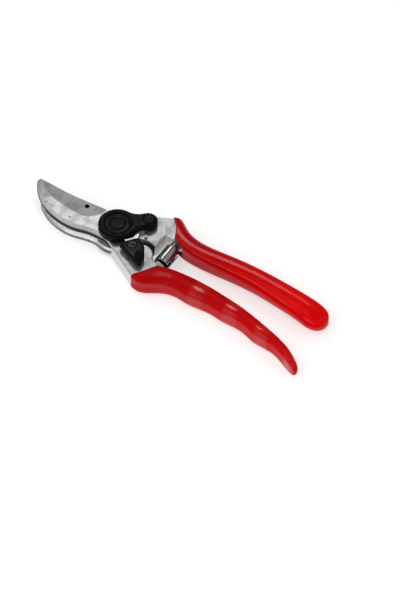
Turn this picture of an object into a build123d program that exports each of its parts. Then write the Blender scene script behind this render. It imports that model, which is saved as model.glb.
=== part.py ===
"""Bypass pruning shears, built piece by piece in millimetres.

The pivot axis is Z, the shears lie on the plane z = 0, the jaws point to -X and the grips to +X.
The hook handle is on the +Y side, the blade handle on the -Y side, and the jaws are closed.
"""

import math
import os

from build123d import *

# Levels along the pivot axis
COAT = 2.0
HEAD_THICK = 11.0
SEAT_THICK = 2.4
HOOK_THICK = 3.5
BLADE_THICK = 3.0
EYE_RAISE = 0.4
RUN_GAP = 0.1
FIT_GAP = 0.05
BACK = COAT
FRONT = BACK + HEAD_THICK
MIDDLE = BACK + HEAD_THICK / 2
GRIP_THICK = HEAD_THICK + 2 * COAT
HOOK_LOW = BACK + SEAT_THICK
HOOK_TOP = HOOK_LOW + HOOK_THICK
BLADE_LOW = HOOK_TOP + RUN_GAP
BLADE_TOP = BLADE_LOW + BLADE_THICK
STUD_LEVEL = (BACK + BLADE_LOW) / 2
EYE_TOP = FRONT + EYE_RAISE

# Pivot
BOLT_RADIUS = 4.5
BOLT_HEAD_RADIUS = 8.5
NECK_EXTRA = 0.3
BUSH_WALL = 1.5
WASHER_RADIUS = 8.2
WASHER_THICK = 0.6
NUT_RADIUS = 7.6
NUT_THICK = 2.4
NUT_SCALLOPS = 24
SCALLOP_RADIUS = 0.75
EYE_RADIUS = 10.4
STEEL_EYE_RADIUS = 13.0
BLADE_EYE_SHIFT = 1.3
RIM_SWELL = 1.2
RIM_BEVEL = 1.0
LAP_RADIUS = 14.6
LAP_GAP = 0.6
SHOULDER = LAP_RADIUS + LAP_GAP
BUSH_RADIUS = BOLT_RADIUS + FIT_GAP + BUSH_WALL
WASHER_LOW = EYE_TOP + RUN_GAP
NUT_LOW = WASHER_LOW + WASHER_THICK
NUT_TOP = NUT_LOW + NUT_THICK

# Heads
HOOK_EDGE_BASE = 13.5
HOOK_EDGE_ANGLE = 26.7
BLADE_EDGE_BASE = 11.8
BLADE_EDGE_ANGLE = 29.0
HOOK_GRIP_START = 36.8
BLADE_GRIP_START = 39.2
HEAD_CHAMFER = 0.7
WEB_BITE = 2.0
WEDGE_ANGLE = 8.0
BOSS = (23.2, -10.2)
BOSS_RADIUS = 8.6
BUMPER_THICK = 2.8
BUMPER_GAP = 0.3
BUMPER_FROM = 54.0
BUMPER_TO = 118.0
BUMPER_SHORT = 0.8
STUD_RADIUS = 0.8
STUD_REACH = 2.0
STUD_INSET = 18.0
STUD_TURNS = (BUMPER_FROM + STUD_INSET, BUMPER_TO - STUD_INSET)
BUMPER_ROUND = 0.9
RECESS_WALL = 28.4
RECESS_ROUND = 2.0

# Return spring
SPRING_X = 36.4
SPRING_RADIUS = 5.6
STRIP_THICK = 0.8
STRIP_WIDTH = 14.0
COIL_GAP = 0.5
HALF_TURNS = 5
SEAT_LOW = -8.2
SEAT_HIGH = 12.0
SEAT_RADIUS = 4.7
SEAT_BORE = 3.4
SEAT_DEPTH = 1.6
SEAT_LENGTH = 6.0

# Thumb catch
CATCH_AT = (17.2, -9.3)
CATCH_TURN = 15.0
CATCH_GAP = 0.2
PLATE_THICK = 1.8
LEVER_THICK = 2.8
LEVER_ROUND = 1.7
LEVER_EDGE = 0.9
PAD_AT = (25.8, -14.9)
PAD_ANGLE = -66.0
PAD_LENGTH = 7.2
PAD_WIDTH = 4.4
PAD_RAISE = 0.9
DRIVE_SLOT = 0.9
CATCH_SHOULDER = 2.2
CATCH_THREAD = 1.6
CATCH_HEAD = 3.0
CATCH_HEAD_THICK = 1.1
CATCH_WASHER_THICK = 0.5
ARM_LEFT = -1.3
ARM_RIGHT = 0.9
NOSE_LENGTH = 3.3
NOSE_THICK = 1.7
STRIKE_AT = (19.4, 3.0)
STRIKE_RADIUS = 1.0
STRIKE_RAISE = 1.8
STRIKE_DEPTH = 4.0
NOSE_GAP = 0.3
RIM_THICK = 1.5
RIM_DROP = 0.6
PLATE_LOW = FRONT + CATCH_GAP
PLATE_TOP = PLATE_LOW + PLATE_THICK
LEVER_TOP = PLATE_TOP + LEVER_THICK
COUNTERBORE_LOW = LEVER_TOP - CATCH_HEAD_THICK - CATCH_WASHER_THICK

# Cover, lock segment and its screw
COVER_RADIUS = 12.2
COVER_WALL = 1.3
COVER_ROOF = 1.4
COVER_ROUND = 1.7
COVER_CLEAR = 0.3
ARM_REACH = 20.0
ARM_ANGLE = 41.3
ARM_RADIUS = 5.6
ARM_BLEND = 14.0
HOOK_ROOM = 0.4
SEGMENT_THICK = 2.0
SEGMENT_RADIUS = 3.9
SEGMENT_GAP = 0.3
TOOTH_RADIUS = 0.55
SEGMENT_SCREW = 1.6
SEGMENT_HEAD = 3.0
SCREW_DEPTH = 4.0
COVER_CEILING = NUT_TOP + COVER_CLEAR
COVER_TOP = COVER_CEILING + COVER_ROOF

# Rivets, hole and marks of the steel
RIVET_RADIUS = 1.7
HOOK_RIVETS = [(20.6, 9.2), (9.0, 15.2)]
BLADE_RIVETS = [(11.2, -13.6), (22.6, -9.6)]
BLADE_HOLE = (-26.9, 6.1)
BLADE_HOLE_RADIUS = 1.3
BLADE_HOLE_DEPTH = 2.2
BLADE_MARKS = [(-31.3, -7.2), (-50.7, -4.7)]
MARK_RADIUS = 1.0
MARK_DEPTH = 0.3
BEVEL_WIDTH = 1.6
BEVEL_HEIGHT = 2.5
HOLLOW_DEPTH = 0.4

# Grip outlines: distance along the grip, inner edge, outer edge and thickness at each station
GRIP_ROUND = 5.5
BAR_STEP = 0.4
HOOK_STATIONS = [
    (24.0, 13.2, 27.4, GRIP_THICK),
    (28.0, 13.0, 29.4, GRIP_THICK),
    (32.0, 12.7, 27.6, GRIP_THICK),
    (38.0, 10.4, 23.7, GRIP_THICK),
    (46.0, 7.9, 21.0, GRIP_THICK),
    (58.0, 7.0, 20.4, GRIP_THICK),
    (76.0, 7.7, 21.8, GRIP_THICK),
    (96.0, 7.9, 22.2, GRIP_THICK),
    (116.0, 6.0, 21.3, GRIP_THICK - 0.15),
    (132.0, 3.8, 19.9, GRIP_THICK - 0.5),
    (141.0, 2.2, 18.4, GRIP_THICK - 1.0),
    (146.0, 3.4, 16.6, GRIP_THICK - 2.2),
    (149.0, 6.2, 13.8, GRIP_THICK - 5.0),
    (150.0, 8.6, 11.4, GRIP_THICK - 9.0),
]
BLADE_STATIONS = [
    (26.0, -27.4, -14.5, GRIP_THICK),
    (30.5, -29.6, -12.6, GRIP_THICK),
    (36.0, -29.0, -10.2, GRIP_THICK),
    (42.0, -25.4, -8.2, GRIP_THICK),
    (50.0, -21.4, -6.8, GRIP_THICK),
    (57.5, -20.5, -6.1, GRIP_THICK),
    (66.5, -21.2, -5.9, GRIP_THICK),
    (79.0, -20.1, -6.7, GRIP_THICK),
    (92.5, -21.0, -8.2, GRIP_THICK),
    (104.0, -20.9, -10.2, GRIP_THICK),
    (117.0, -24.3, -13.1, GRIP_THICK - 0.4),
    (130.5, -25.2, -17.0, GRIP_THICK - 1.2),
    (142.0, -29.6, -21.4, GRIP_THICK - 2.0),
    (148.0, -32.4, -25.0, GRIP_THICK - 3.4),
    (152.4, -34.0, -28.4, GRIP_THICK - 6.0),
    (154.4, -34.1, -31.0, GRIP_THICK - 10.0),
]

# Placing of a cylinder by its lower end
LOW_END = (Align.CENTER, Align.CENTER, Align.MIN)


def polar(radius, angle, center=(0.0, 0.0)):
    """Point at a radius and an angle in degrees from a centre."""
    turn = math.radians(angle)
    return (center[0] + radius * math.cos(turn), center[1] + radius * math.sin(turn))


def meet(point, angle, radius):
    """Point where a line from a point inside the circle about the pivot leaves that circle."""
    along = (math.cos(math.radians(angle)), math.sin(math.radians(angle)))
    lead = point[0] * along[0] + point[1] * along[1]
    rest = point[0] ** 2 + point[1] ** 2 - radius ** 2
    reach = -lead + math.sqrt(lead ** 2 - rest)
    return (point[0] + reach * along[0], point[1] + reach * along[1])


def arc_middle(start, end, center=(0.0, 0.0)):
    """Point half way along the shorter arc about a centre between two points of it."""
    first = math.degrees(math.atan2(start[1] - center[1], start[0] - center[0]))
    last = math.degrees(math.atan2(end[1] - center[1], end[0] - center[0]))
    radius = math.hypot(start[0] - center[0], start[1] - center[1])
    return polar(radius, (first + last) / 2, center)


def handle_bar(stations, inset, step):
    """Rounded bar lofted through the stations, drawn in by inset and on its flat sides by a step more."""
    reach = stations[-1][0] - 2 * inset
    kept = [station for station in stations if station[0] <= reach]
    with BuildPart() as bar:
        for along, low, high, thick in kept:
            wide = high - low - 2 * inset
            deep = thick - 2 * (inset + step)
            corner = min(GRIP_ROUND - inset, 0.44 * wide, 0.44 * deep)
            with BuildSketch(Plane.YZ.offset(along)):
                with Locations(((low + high) / 2, MIDDLE)):
                    RectangleRounded(wide, deep, corner)
        loft()
    return bar.part


def released(along, across):
    """Place a point, given from the catch screw with the catch locked, where it is when released."""
    reach = math.hypot(along, across)
    angle = math.degrees(math.atan2(across, along)) + CATCH_TURN
    return polar(reach, angle, CATCH_AT)


def bumper_stud(turn):
    """Plane at the inner end of a stud of the bumper, facing outward."""
    foot = polar(BOSS_RADIUS - STUD_REACH, turn, BOSS)
    outward = polar(1.0, turn)
    return Plane(origin=(foot[0], foot[1], STUD_LEVEL), z_dir=(outward[0], outward[1], 0.0))


def outer_rims(builder):
    """Front and back edges of a head, without those on the circles about the pivot."""
    flat = [edge for edge in builder.edges() if abs(edge.start_point().Z - edge.end_point().Z) < 0.01]
    kept = []
    for edge in flat:
        reaches = [math.hypot(point.X, point.Y) for point in (edge @ 0, edge @ 0.5, edge @ 1)]
        if max(reaches) - min(reaches) > 0.01:
            kept.append(edge)
    return kept


def finish(builder, name):
    """Label a finished piece and write it out."""
    builder.part.label = name
    export_step(builder.part, f"parts/{name}.step")


os.makedirs("parts", exist_ok=True)

# Outline of the hook handle's head, with the room for the bumper and the spring
bumper_reach = BOSS_RADIUS + BUMPER_THICK + BUMPER_GAP
hook_edge = (0.0, HOOK_EDGE_BASE)
hook_corner_near = meet(hook_edge, HOOK_EDGE_ANGLE, SHOULDER)
hook_corner_far = meet(hook_edge, HOOK_EDGE_ANGLE, HOOK_GRIP_START)
hook_recess_far = (math.sqrt(HOOK_GRIP_START ** 2 - SEAT_HIGH ** 2), SEAT_HIGH)
hook_recess_near = (RECESS_WALL, SEAT_HIGH)
recess_drop = math.sqrt(bumper_reach ** 2 - (RECESS_WALL - BOSS[0]) ** 2)
hook_recess_foot = (RECESS_WALL, BOSS[1] + recess_drop)
hook_bumper_end = polar(bumper_reach, BUMPER_TO, BOSS)
hook_lap_end = (math.sqrt(SHOULDER ** 2 - hook_bumper_end[1] ** 2), hook_bumper_end[1])
with BuildSketch() as hook_head_outline:
    with BuildLine():
        Line(hook_corner_near, hook_corner_far)
        ThreePointArc(hook_corner_far, arc_middle(hook_corner_far, hook_recess_far), hook_recess_far)
        Line(hook_recess_far, hook_recess_near)
        Line(hook_recess_near, hook_recess_foot)
        ThreePointArc(hook_recess_foot, arc_middle(hook_recess_foot, hook_bumper_end, BOSS), hook_bumper_end)
        Line(hook_bumper_end, hook_lap_end)
        ThreePointArc(hook_lap_end, arc_middle(hook_lap_end, hook_corner_near), hook_corner_near)
    make_face()
    fillet(hook_head_outline.vertices().sort_by_distance(hook_recess_near)[0], RECESS_ROUND)
    fillet(hook_head_outline.vertices().sort_by_distance(hook_recess_foot)[0], RECESS_ROUND)

# Outline of the blade handle's head, rounded where the bumper sits
blade_edge = (0.0, -BLADE_EDGE_BASE)
blade_corner_near = meet(blade_edge, -BLADE_EDGE_ANGLE, SHOULDER)
blade_corner_far = meet(blade_edge, -BLADE_EDGE_ANGLE, BLADE_GRIP_START)
blade_seat_far = polar(BLADE_GRIP_START, -16.0)
blade_boss_low = polar(BOSS_RADIUS, 10.0, BOSS)
blade_boss_high = polar(BOSS_RADIUS, BUMPER_TO, BOSS)
blade_lap_end = (math.sqrt(SHOULDER ** 2 - blade_boss_high[1] ** 2), blade_boss_high[1])
with BuildSketch() as blade_head_outline:
    with BuildLine():
        Line(blade_corner_near, blade_corner_far)
        ThreePointArc(blade_corner_far, arc_middle(blade_corner_far, blade_seat_far), blade_seat_far)
        Line(blade_seat_far, blade_boss_low)
        ThreePointArc(blade_boss_low, arc_middle(blade_boss_low, blade_boss_high, BOSS), blade_boss_high)
        Line(blade_boss_high, blade_lap_end)
        ThreePointArc(blade_lap_end, arc_middle(blade_lap_end, blade_corner_near), blade_corner_near)
    make_face()

# Outline of the hook: beak, eye and the tang let into its handle
with BuildSketch() as hook_outline:
    with BuildLine():
        rim = Spline(
            polar(STEEL_EYE_RADIUS - 0.1, -46),
            polar(STEEL_EYE_RADIUS + RIM_SWELL - 0.1, -67),
            (0.0, -STEEL_EYE_RADIUS - RIM_SWELL),
            (-6.4, -13.4),
            (-14.2, -13.7),
            (-22.0, -15.5),
            (-30.0, -16.1),
            (-38.3, -14.8),
            (-46.0, -11.8),
            (-54.0, -6.1),
        )
        crook = Spline(
            (-53.6, -4.9),
            (-46.0, -5.6),
            (-37.0, -7.6),
            (-28.0, -7.6),
            (-20.0, -4.6),
            (-14.5, 0.5),
            (-11.2, 6.0),
        )
        Line(rim @ 1, crook @ 0)
        Line(crook @ 1, rim @ 0)
    make_face()
    Circle(STEEL_EYE_RADIUS)
    with BuildLine():
        Polyline((2.5, 10.0), (7.6, 16.4), (20.0, 16.4), (23.6, 11.5), (23.6, 4.6), (11.0, 3.4), close=True)
    make_face()

# Outline of the blade: spine, cutting edge, eye and the tang let into its handle
with BuildSketch() as blade_outline:
    with BuildLine():
        cut = Spline(
            (1.0, 0.2 + 2 * BLADE_EYE_SHIFT - STEEL_EYE_RADIUS),
            (-8.0, -9.8),
            (-16.4, -10.4),
            (-22.8, -12.0),
            (-29.8, -12.8),
            (-37.7, -12.1),
            (-47.0, -9.5),
            (-53.8, -6.0),
            (-59.0, -1.6),
            (-62.8, 2.9),
            (-65.4, 7.6),
        )
        spine = Spline((-64.4, 9.0), (-57.0, 9.1), (-46.0, 8.7), (-30.5, 9.3), (-13.6, 10.7))
        Line(cut @ 1, spine @ 0)
        Line(spine @ 1, (-4.4, 12.1))
        Line((-4.4, 12.1), cut @ 0)
    make_face()
    with Locations((0, BLADE_EYE_SHIFT)):
        Circle(STEEL_EYE_RADIUS - BLADE_EYE_SHIFT)
    with BuildLine():
        Polyline(
            (5.0, -9.0),
            (9.8, -15.4),
            (16.0, -17.5),
            (25.0, -13.0),
            (25.6, -7.0),
            (11.8, -3.6),
            (7.04, -7.38),
            (0.0, BLADE_EYE_SHIFT),
            close=True,
        )
    make_face()

# Hook handle: seat layer with the eye, full head, bar, spring seat and the boss under the segment
arm_at = polar(ARM_REACH, ARM_ANGLE)
hook_bar = handle_bar(HOOK_STATIONS, COAT, BAR_STEP)
with BuildPart() as hook_handle:
    with BuildSketch(Plane.XY.offset(BACK)):
        add(hook_head_outline.sketch)
    extrude(amount=HEAD_THICK)
    chamfer(outer_rims(hook_handle), HEAD_CHAMFER)
    with BuildSketch(Plane.XY.offset(BACK)):
        Circle(LAP_RADIUS)
        with BuildLine():
            Polyline(
                (0.0, 0.0),
                polar(WEB_BITE, WEDGE_ANGLE, hook_corner_near),
                polar(SHOULDER + WEB_BITE, 45.0),
                polar(WEB_BITE, 45.0, hook_lap_end),
                close=True,
            )
        make_face()
    extrude(amount=SEAT_THICK)
    add(hook_bar)
    with Locations(Location((SPRING_X, SEAT_HIGH, MIDDLE), (-90, 0, 0))):
        Cylinder(SEAT_RADIUS, SEAT_LENGTH, align=LOW_END)
        Cylinder(SEAT_BORE, SEAT_DEPTH, align=LOW_END, mode=Mode.SUBTRACT)
    with Locations(Location((SPRING_X, SEAT_HIGH, MIDDLE), (90, 0, 0))):
        Cylinder(SPRING_RADIUS + COIL_GAP, SEAT_HIGH - SEAT_LOW, align=LOW_END, mode=Mode.SUBTRACT)
    with BuildSketch(Plane.XY.offset(FRONT)):
        with Locations(arm_at):
            Circle(SEGMENT_RADIUS)
    extrude(amount=NUT_LOW - FRONT)
    with BuildSketch(Plane.XY.offset(HOOK_LOW)):
        add(hook_outline.sketch)
    extrude(amount=HOOK_THICK, mode=Mode.SUBTRACT)
    with BuildSketch(Plane.XY.offset(BACK)):
        with Locations(*HOOK_RIVETS):
            Circle(RIVET_RADIUS)
    extrude(amount=HEAD_THICK, mode=Mode.SUBTRACT)
    with BuildSketch(Plane.XY.offset(BACK)):
        Rectangle(2 * (BOLT_RADIUS + NECK_EXTRA), 2 * (BOLT_RADIUS + NECK_EXTRA))
    extrude(amount=SEAT_THICK, mode=Mode.SUBTRACT)
    with BuildSketch(Plane.XY.offset(FRONT - SCREW_DEPTH)):
        with Locations(arm_at):
            Circle(SEGMENT_SCREW)
    extrude(amount=SCREW_DEPTH + NUT_LOW - FRONT, mode=Mode.SUBTRACT)
    with BuildSketch(Plane.XY.offset(FRONT - STRIKE_DEPTH)):
        with Locations(STRIKE_AT):
            Circle(STRIKE_RADIUS)
    extrude(amount=STRIKE_DEPTH, mode=Mode.SUBTRACT)
finish(hook_handle, "hook_handle")

# Hook grip: the coat outside the bar, open around the spring seat
with BuildPart() as hook_grip:
    add(handle_bar(HOOK_STATIONS, 0.0, 0.0))
    Cylinder(HOOK_GRIP_START, 4 * GRIP_THICK, mode=Mode.SUBTRACT)
    with Locations(Location((SPRING_X, SEAT_LOW, MIDDLE), (-90, 0, 0))):
        Cylinder(
            SPRING_RADIUS + COIL_GAP,
            SEAT_HIGH - SEAT_LOW + COAT,
            align=LOW_END,
            mode=Mode.SUBTRACT,
        )
    add(hook_bar, mode=Mode.SUBTRACT)
    with Locations(Location((SPRING_X, SEAT_HIGH, MIDDLE), (-90, 0, 0))):
        Cylinder(SEAT_RADIUS, SEAT_LENGTH, align=LOW_END, mode=Mode.SUBTRACT)
finish(hook_grip, "hook_grip")

# Counter blade, the steel hook
with BuildPart() as counter_blade:
    with BuildSketch(Plane.XY.offset(HOOK_LOW)):
        add(hook_outline.sketch)
        Circle(BOLT_RADIUS, mode=Mode.SUBTRACT)
        with Locations(*HOOK_RIVETS):
            Circle(RIVET_RADIUS, mode=Mode.SUBTRACT)
    extrude(amount=HOOK_THICK)
    hook_edges = counter_blade.edges().filter_by_position(Axis.Z, HOOK_TOP, HOOK_TOP)
    rim_edge = hook_edges.sort_by(SortBy.LENGTH)[-1]
    chamfer(rim_edge, RIM_BEVEL)
finish(counter_blade, "counter_blade")

# Rivets of the hook
with BuildPart() as counter_blade_rivets:
    with BuildSketch(Plane.XY.offset(BACK)):
        with Locations(*HOOK_RIVETS):
            Circle(RIVET_RADIUS)
    extrude(amount=HEAD_THICK)
finish(counter_blade_rivets, "counter_blade_rivets")

# Blade handle: head behind the shoulder, web with the eye in front, bar and spring seat
blade_bar = handle_bar(BLADE_STATIONS, COAT, BAR_STEP)
with BuildPart() as blade_handle:
    with BuildSketch(Plane.XY.offset(BACK)):
        add(blade_head_outline.sketch)
    extrude(amount=HEAD_THICK)
    chamfer(outer_rims(blade_handle), HEAD_CHAMFER)
    with BuildSketch(Plane.XY.offset(BLADE_TOP)):
        Circle(EYE_RADIUS)
        with BuildLine():
            Polyline(
                polar(EYE_RADIUS, 248.0),
                polar(WEB_BITE, -WEDGE_ANGLE, blade_corner_near),
                polar(SHOULDER + WEB_BITE, -40.0),
                polar(WEB_BITE, -45.0, blade_lap_end),
                polar(EYE_RADIUS, 10.0),
                close=True,
            )
        make_face()
    extrude(amount=FRONT - BLADE_TOP)
    with BuildSketch(Plane.XY.offset(FRONT)):
        Circle(EYE_RADIUS)
    extrude(amount=EYE_RAISE)
    add(blade_bar)
    with Locations(Location((SPRING_X, SEAT_LOW, MIDDLE), (90, 0, 0))):
        Cylinder(SEAT_RADIUS, SEAT_LENGTH, align=LOW_END)
    with Locations(Location((SPRING_X, SEAT_LOW, MIDDLE), (-90, 0, 0))):
        Cylinder(SPRING_RADIUS + COIL_GAP, SEAT_HIGH - SEAT_LOW, align=LOW_END, mode=Mode.SUBTRACT)
    with BuildSketch(Plane.XY.offset(BLADE_LOW)):
        add(blade_outline.sketch)
    extrude(amount=BLADE_THICK, mode=Mode.SUBTRACT)
    with BuildSketch(Plane.XY.offset(BACK)):
        with Locations(*BLADE_RIVETS):
            Circle(RIVET_RADIUS)
        with Locations(CATCH_AT):
            Circle(CATCH_THREAD)
    extrude(amount=HEAD_THICK, mode=Mode.SUBTRACT)
    with BuildSketch(Plane.XY.offset(BLADE_TOP)):
        Circle(BUSH_RADIUS)
    extrude(amount=EYE_TOP - BLADE_TOP, mode=Mode.SUBTRACT)
    for turn in STUD_TURNS:
        with BuildSketch(bumper_stud(turn)):
            Circle(STUD_RADIUS)
        extrude(amount=2 * STUD_REACH, mode=Mode.SUBTRACT)
finish(blade_handle, "blade_handle")

# Blade grip: the coat outside the bar, open around the spring seat
with BuildPart() as blade_grip:
    add(handle_bar(BLADE_STATIONS, 0.0, 0.0))
    Cylinder(BLADE_GRIP_START, 4 * GRIP_THICK, mode=Mode.SUBTRACT)
    with Locations(Location((SPRING_X, SEAT_HIGH, MIDDLE), (90, 0, 0))):
        Cylinder(
            SPRING_RADIUS + COIL_GAP,
            SEAT_HIGH - SEAT_LOW + COAT,
            align=LOW_END,
            mode=Mode.SUBTRACT,
        )
    add(blade_bar, mode=Mode.SUBTRACT)
    with Locations(Location((SPRING_X, SEAT_LOW, MIDDLE), (90, 0, 0))):
        Cylinder(SEAT_RADIUS, SEAT_LENGTH, align=LOW_END, mode=Mode.SUBTRACT)
finish(blade_grip, "blade_grip")

# Cutting blade with its bevel, the hollow along the spine, a hole and two marks
with BuildPart() as cutting_blade:
    with BuildSketch(Plane.XY.offset(BLADE_LOW)):
        add(blade_outline.sketch)
    extrude(amount=BLADE_THICK)
    top_edges = cutting_blade.edges().filter_by_position(Axis.Z, BLADE_TOP, BLADE_TOP)
    cutting_edge = top_edges.sort_by(SortBy.LENGTH)[-1]
    chamfer(cutting_edge, BEVEL_WIDTH, BEVEL_HEIGHT)
    with BuildSketch(Plane.XY.offset(BLADE_TOP)):
        with BuildLine():
            ground = Spline(
                (-63.4, 10.0),
                (-57.2, 4.3),
                (-46.7, -0.4),
                (-35.4, -1.7),
                (-25.5, -2.0),
                (-19.3, 1.1),
                (-15.2, 8.0),
                (-14.6, 12.0),
            )
            Line(ground @ 1, ground @ 0)
        make_face()
    extrude(amount=-HOLLOW_DEPTH, mode=Mode.SUBTRACT)
    with BuildSketch(Plane.XY.offset(BLADE_LOW)):
        Circle(BUSH_RADIUS)
        with Locations(*BLADE_RIVETS):
            Circle(RIVET_RADIUS)
        with Locations(CATCH_AT):
            Circle(CATCH_THREAD)
    extrude(amount=BLADE_THICK, mode=Mode.SUBTRACT)
    with BuildSketch(Plane.XY.offset(BLADE_TOP)):
        with Locations(BLADE_HOLE):
            Circle(BLADE_HOLE_RADIUS)
    extrude(amount=-BLADE_HOLE_DEPTH, mode=Mode.SUBTRACT)
    with BuildSketch(Plane.XY.offset(BLADE_TOP)):
        with Locations(*BLADE_MARKS):
            Circle(MARK_RADIUS)
    extrude(amount=-MARK_DEPTH, taper=45, mode=Mode.SUBTRACT)
finish(cutting_blade, "cutting_blade")

# Rivets of the blade
with BuildPart() as blade_rivets:
    with BuildSketch(Plane.XY.offset(BACK)):
        with Locations(*BLADE_RIVETS):
            Circle(RIVET_RADIUS)
    extrude(amount=HEAD_THICK)
finish(blade_rivets, "blade_rivets")

# Pivot bolt with a square neck
with BuildPart() as pivot_bolt:
    with BuildSketch(Plane.XY.offset(0.0)):
        Circle(BOLT_HEAD_RADIUS)
    extrude(amount=BACK)
    with BuildSketch(Plane.XY.offset(BACK)):
        Rectangle(2 * (BOLT_RADIUS + NECK_EXTRA), 2 * (BOLT_RADIUS + NECK_EXTRA))
    extrude(amount=SEAT_THICK)
    with BuildSketch(Plane.XY.offset(HOOK_LOW)):
        Circle(BOLT_RADIUS)
    extrude(amount=NUT_TOP - HOOK_LOW)
    chamfer(pivot_bolt.faces().sort_by(Axis.Z)[-1].edges(), 0.5)
finish(pivot_bolt, "pivot_bolt")

# Bush that turns on the bolt with the blade
with BuildPart() as pivot_bush:
    with BuildSketch(Plane.XY.offset(BLADE_LOW)):
        Circle(BUSH_RADIUS)
        Circle(BOLT_RADIUS + FIT_GAP, mode=Mode.SUBTRACT)
    extrude(amount=EYE_TOP - BLADE_LOW)
finish(pivot_bush, "pivot_bush")

# Thrust washer
with BuildPart() as pivot_washer:
    with BuildSketch(Plane.XY.offset(WASHER_LOW)):
        Circle(WASHER_RADIUS)
        Circle(BOLT_RADIUS, mode=Mode.SUBTRACT)
    extrude(amount=WASHER_THICK)
finish(pivot_washer, "pivot_washer")

# Scalloped nut
with BuildPart() as pivot_nut:
    with BuildSketch(Plane.XY.offset(NUT_LOW)):
        Circle(NUT_RADIUS)
        Circle(BOLT_RADIUS, mode=Mode.SUBTRACT)
        with PolarLocations(NUT_RADIUS, NUT_SCALLOPS, start_angle=ARM_ANGLE):
            Circle(SCALLOP_RADIUS, mode=Mode.SUBTRACT)
    extrude(amount=NUT_THICK)
finish(pivot_nut, "pivot_nut")

# Lock segment with three teeth in the scallops of the nut
with BuildPart() as lock_segment:
    with BuildSketch(Plane.XY.offset(NUT_LOW)):
        SlotCenterPoint(polar(ARM_REACH / 2, ARM_ANGLE), arm_at, 2 * SEGMENT_RADIUS)
        Circle(NUT_RADIUS + SEGMENT_GAP, mode=Mode.SUBTRACT)
        with BuildSketch(mode=Mode.PRIVATE) as near_half:
            with Locations(Location((0.0, 0.0, 0.0), (0, 0, ARM_ANGLE))):
                with Locations((-ARM_REACH, 0.0)):
                    Rectangle(2 * ARM_REACH, 4 * ARM_REACH)
        add(near_half.sketch, mode=Mode.SUBTRACT)
        pitch = 360.0 / NUT_SCALLOPS
        with PolarLocations(NUT_RADIUS, 3, start_angle=ARM_ANGLE - pitch, angular_range=3 * pitch):
            Circle(TOOTH_RADIUS)
    extrude(amount=SEGMENT_THICK)
    with Locations((arm_at[0], arm_at[1], NUT_LOW + SEGMENT_THICK)):
        CounterSinkHole(SEGMENT_SCREW, SEGMENT_HEAD, counter_sink_angle=90)
finish(lock_segment, "lock_segment")

# Countersunk screw of the segment
with BuildPart() as segment_screw:
    with BuildSketch(Plane.XY.offset(FRONT - SCREW_DEPTH)):
        with Locations(arm_at):
            Circle(SEGMENT_SCREW)
    extrude(amount=SCREW_DEPTH + NUT_LOW + SEGMENT_THICK - FRONT)
    with Locations((arm_at[0], arm_at[1], NUT_LOW + SEGMENT_THICK)):
        Cone(
            SEGMENT_SCREW,
            SEGMENT_HEAD,
            SEGMENT_HEAD - SEGMENT_SCREW,
            align=(Align.CENTER, Align.CENTER, Align.MAX),
        )
finish(segment_screw, "segment_screw")

# Cover over nut and segment, open below where the hook of the catch swings
nose_low = STRIKE_AT[1] - CATCH_AT[1] + STRIKE_RADIUS + NOSE_GAP
with BuildSketch() as cover_profile:
    SlotCenterPoint(polar(ARM_REACH / 2, ARM_ANGLE), arm_at, 2 * ARM_RADIUS)
    Circle(COVER_RADIUS)
    arm_axis = Axis((0, 0, 0), (arm_at[0], arm_at[1], 0))
    fillet(cover_profile.vertices().group_by(arm_axis)[0], ARM_BLEND)
with BuildPart() as pivot_cover:
    with BuildSketch(Plane.XY.offset(FRONT)):
        add(cover_profile.sketch)
    extrude(amount=COVER_TOP - FRONT)
    fillet(pivot_cover.faces().sort_by(Axis.Z)[-1].edges(), COVER_ROUND)
    with BuildSketch(Plane.XY.offset(FRONT)):
        add(cover_profile.sketch)
        offset(amount=-COVER_WALL)
    extrude(amount=COVER_CEILING - FRONT, mode=Mode.SUBTRACT)
    with BuildSketch(Plane.XY.offset(FRONT)):
        Circle(SHOULDER + COVER_CLEAR)
    extrude(amount=COVER_CLEAR, mode=Mode.SUBTRACT)
    with BuildSketch(Plane.XY.offset(FRONT)):
        with BuildLine():
            Polyline(
                released(ARM_LEFT - HOOK_ROOM, 0.0),
                released(NOSE_LENGTH + 3 * NOSE_THICK, 0.0),
                released(NOSE_LENGTH + 3 * NOSE_THICK, nose_low + NOSE_THICK + HOOK_ROOM),
                released(ARM_LEFT - HOOK_ROOM, nose_low + NOSE_THICK + HOOK_ROOM),
                close=True,
            )
        make_face()
    extrude(amount=PLATE_TOP + HOOK_ROOM - FRONT, mode=Mode.SUBTRACT)
finish(pivot_cover, "pivot_cover")

# Strike pin that the catch takes hold of
with BuildPart() as strike_pin:
    with BuildSketch(Plane.XY.offset(FRONT - STRIKE_DEPTH)):
        with Locations(STRIKE_AT):
            Circle(STRIKE_RADIUS)
    extrude(amount=STRIKE_DEPTH + STRIKE_RAISE)
finish(strike_pin, "strike_pin")

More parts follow.
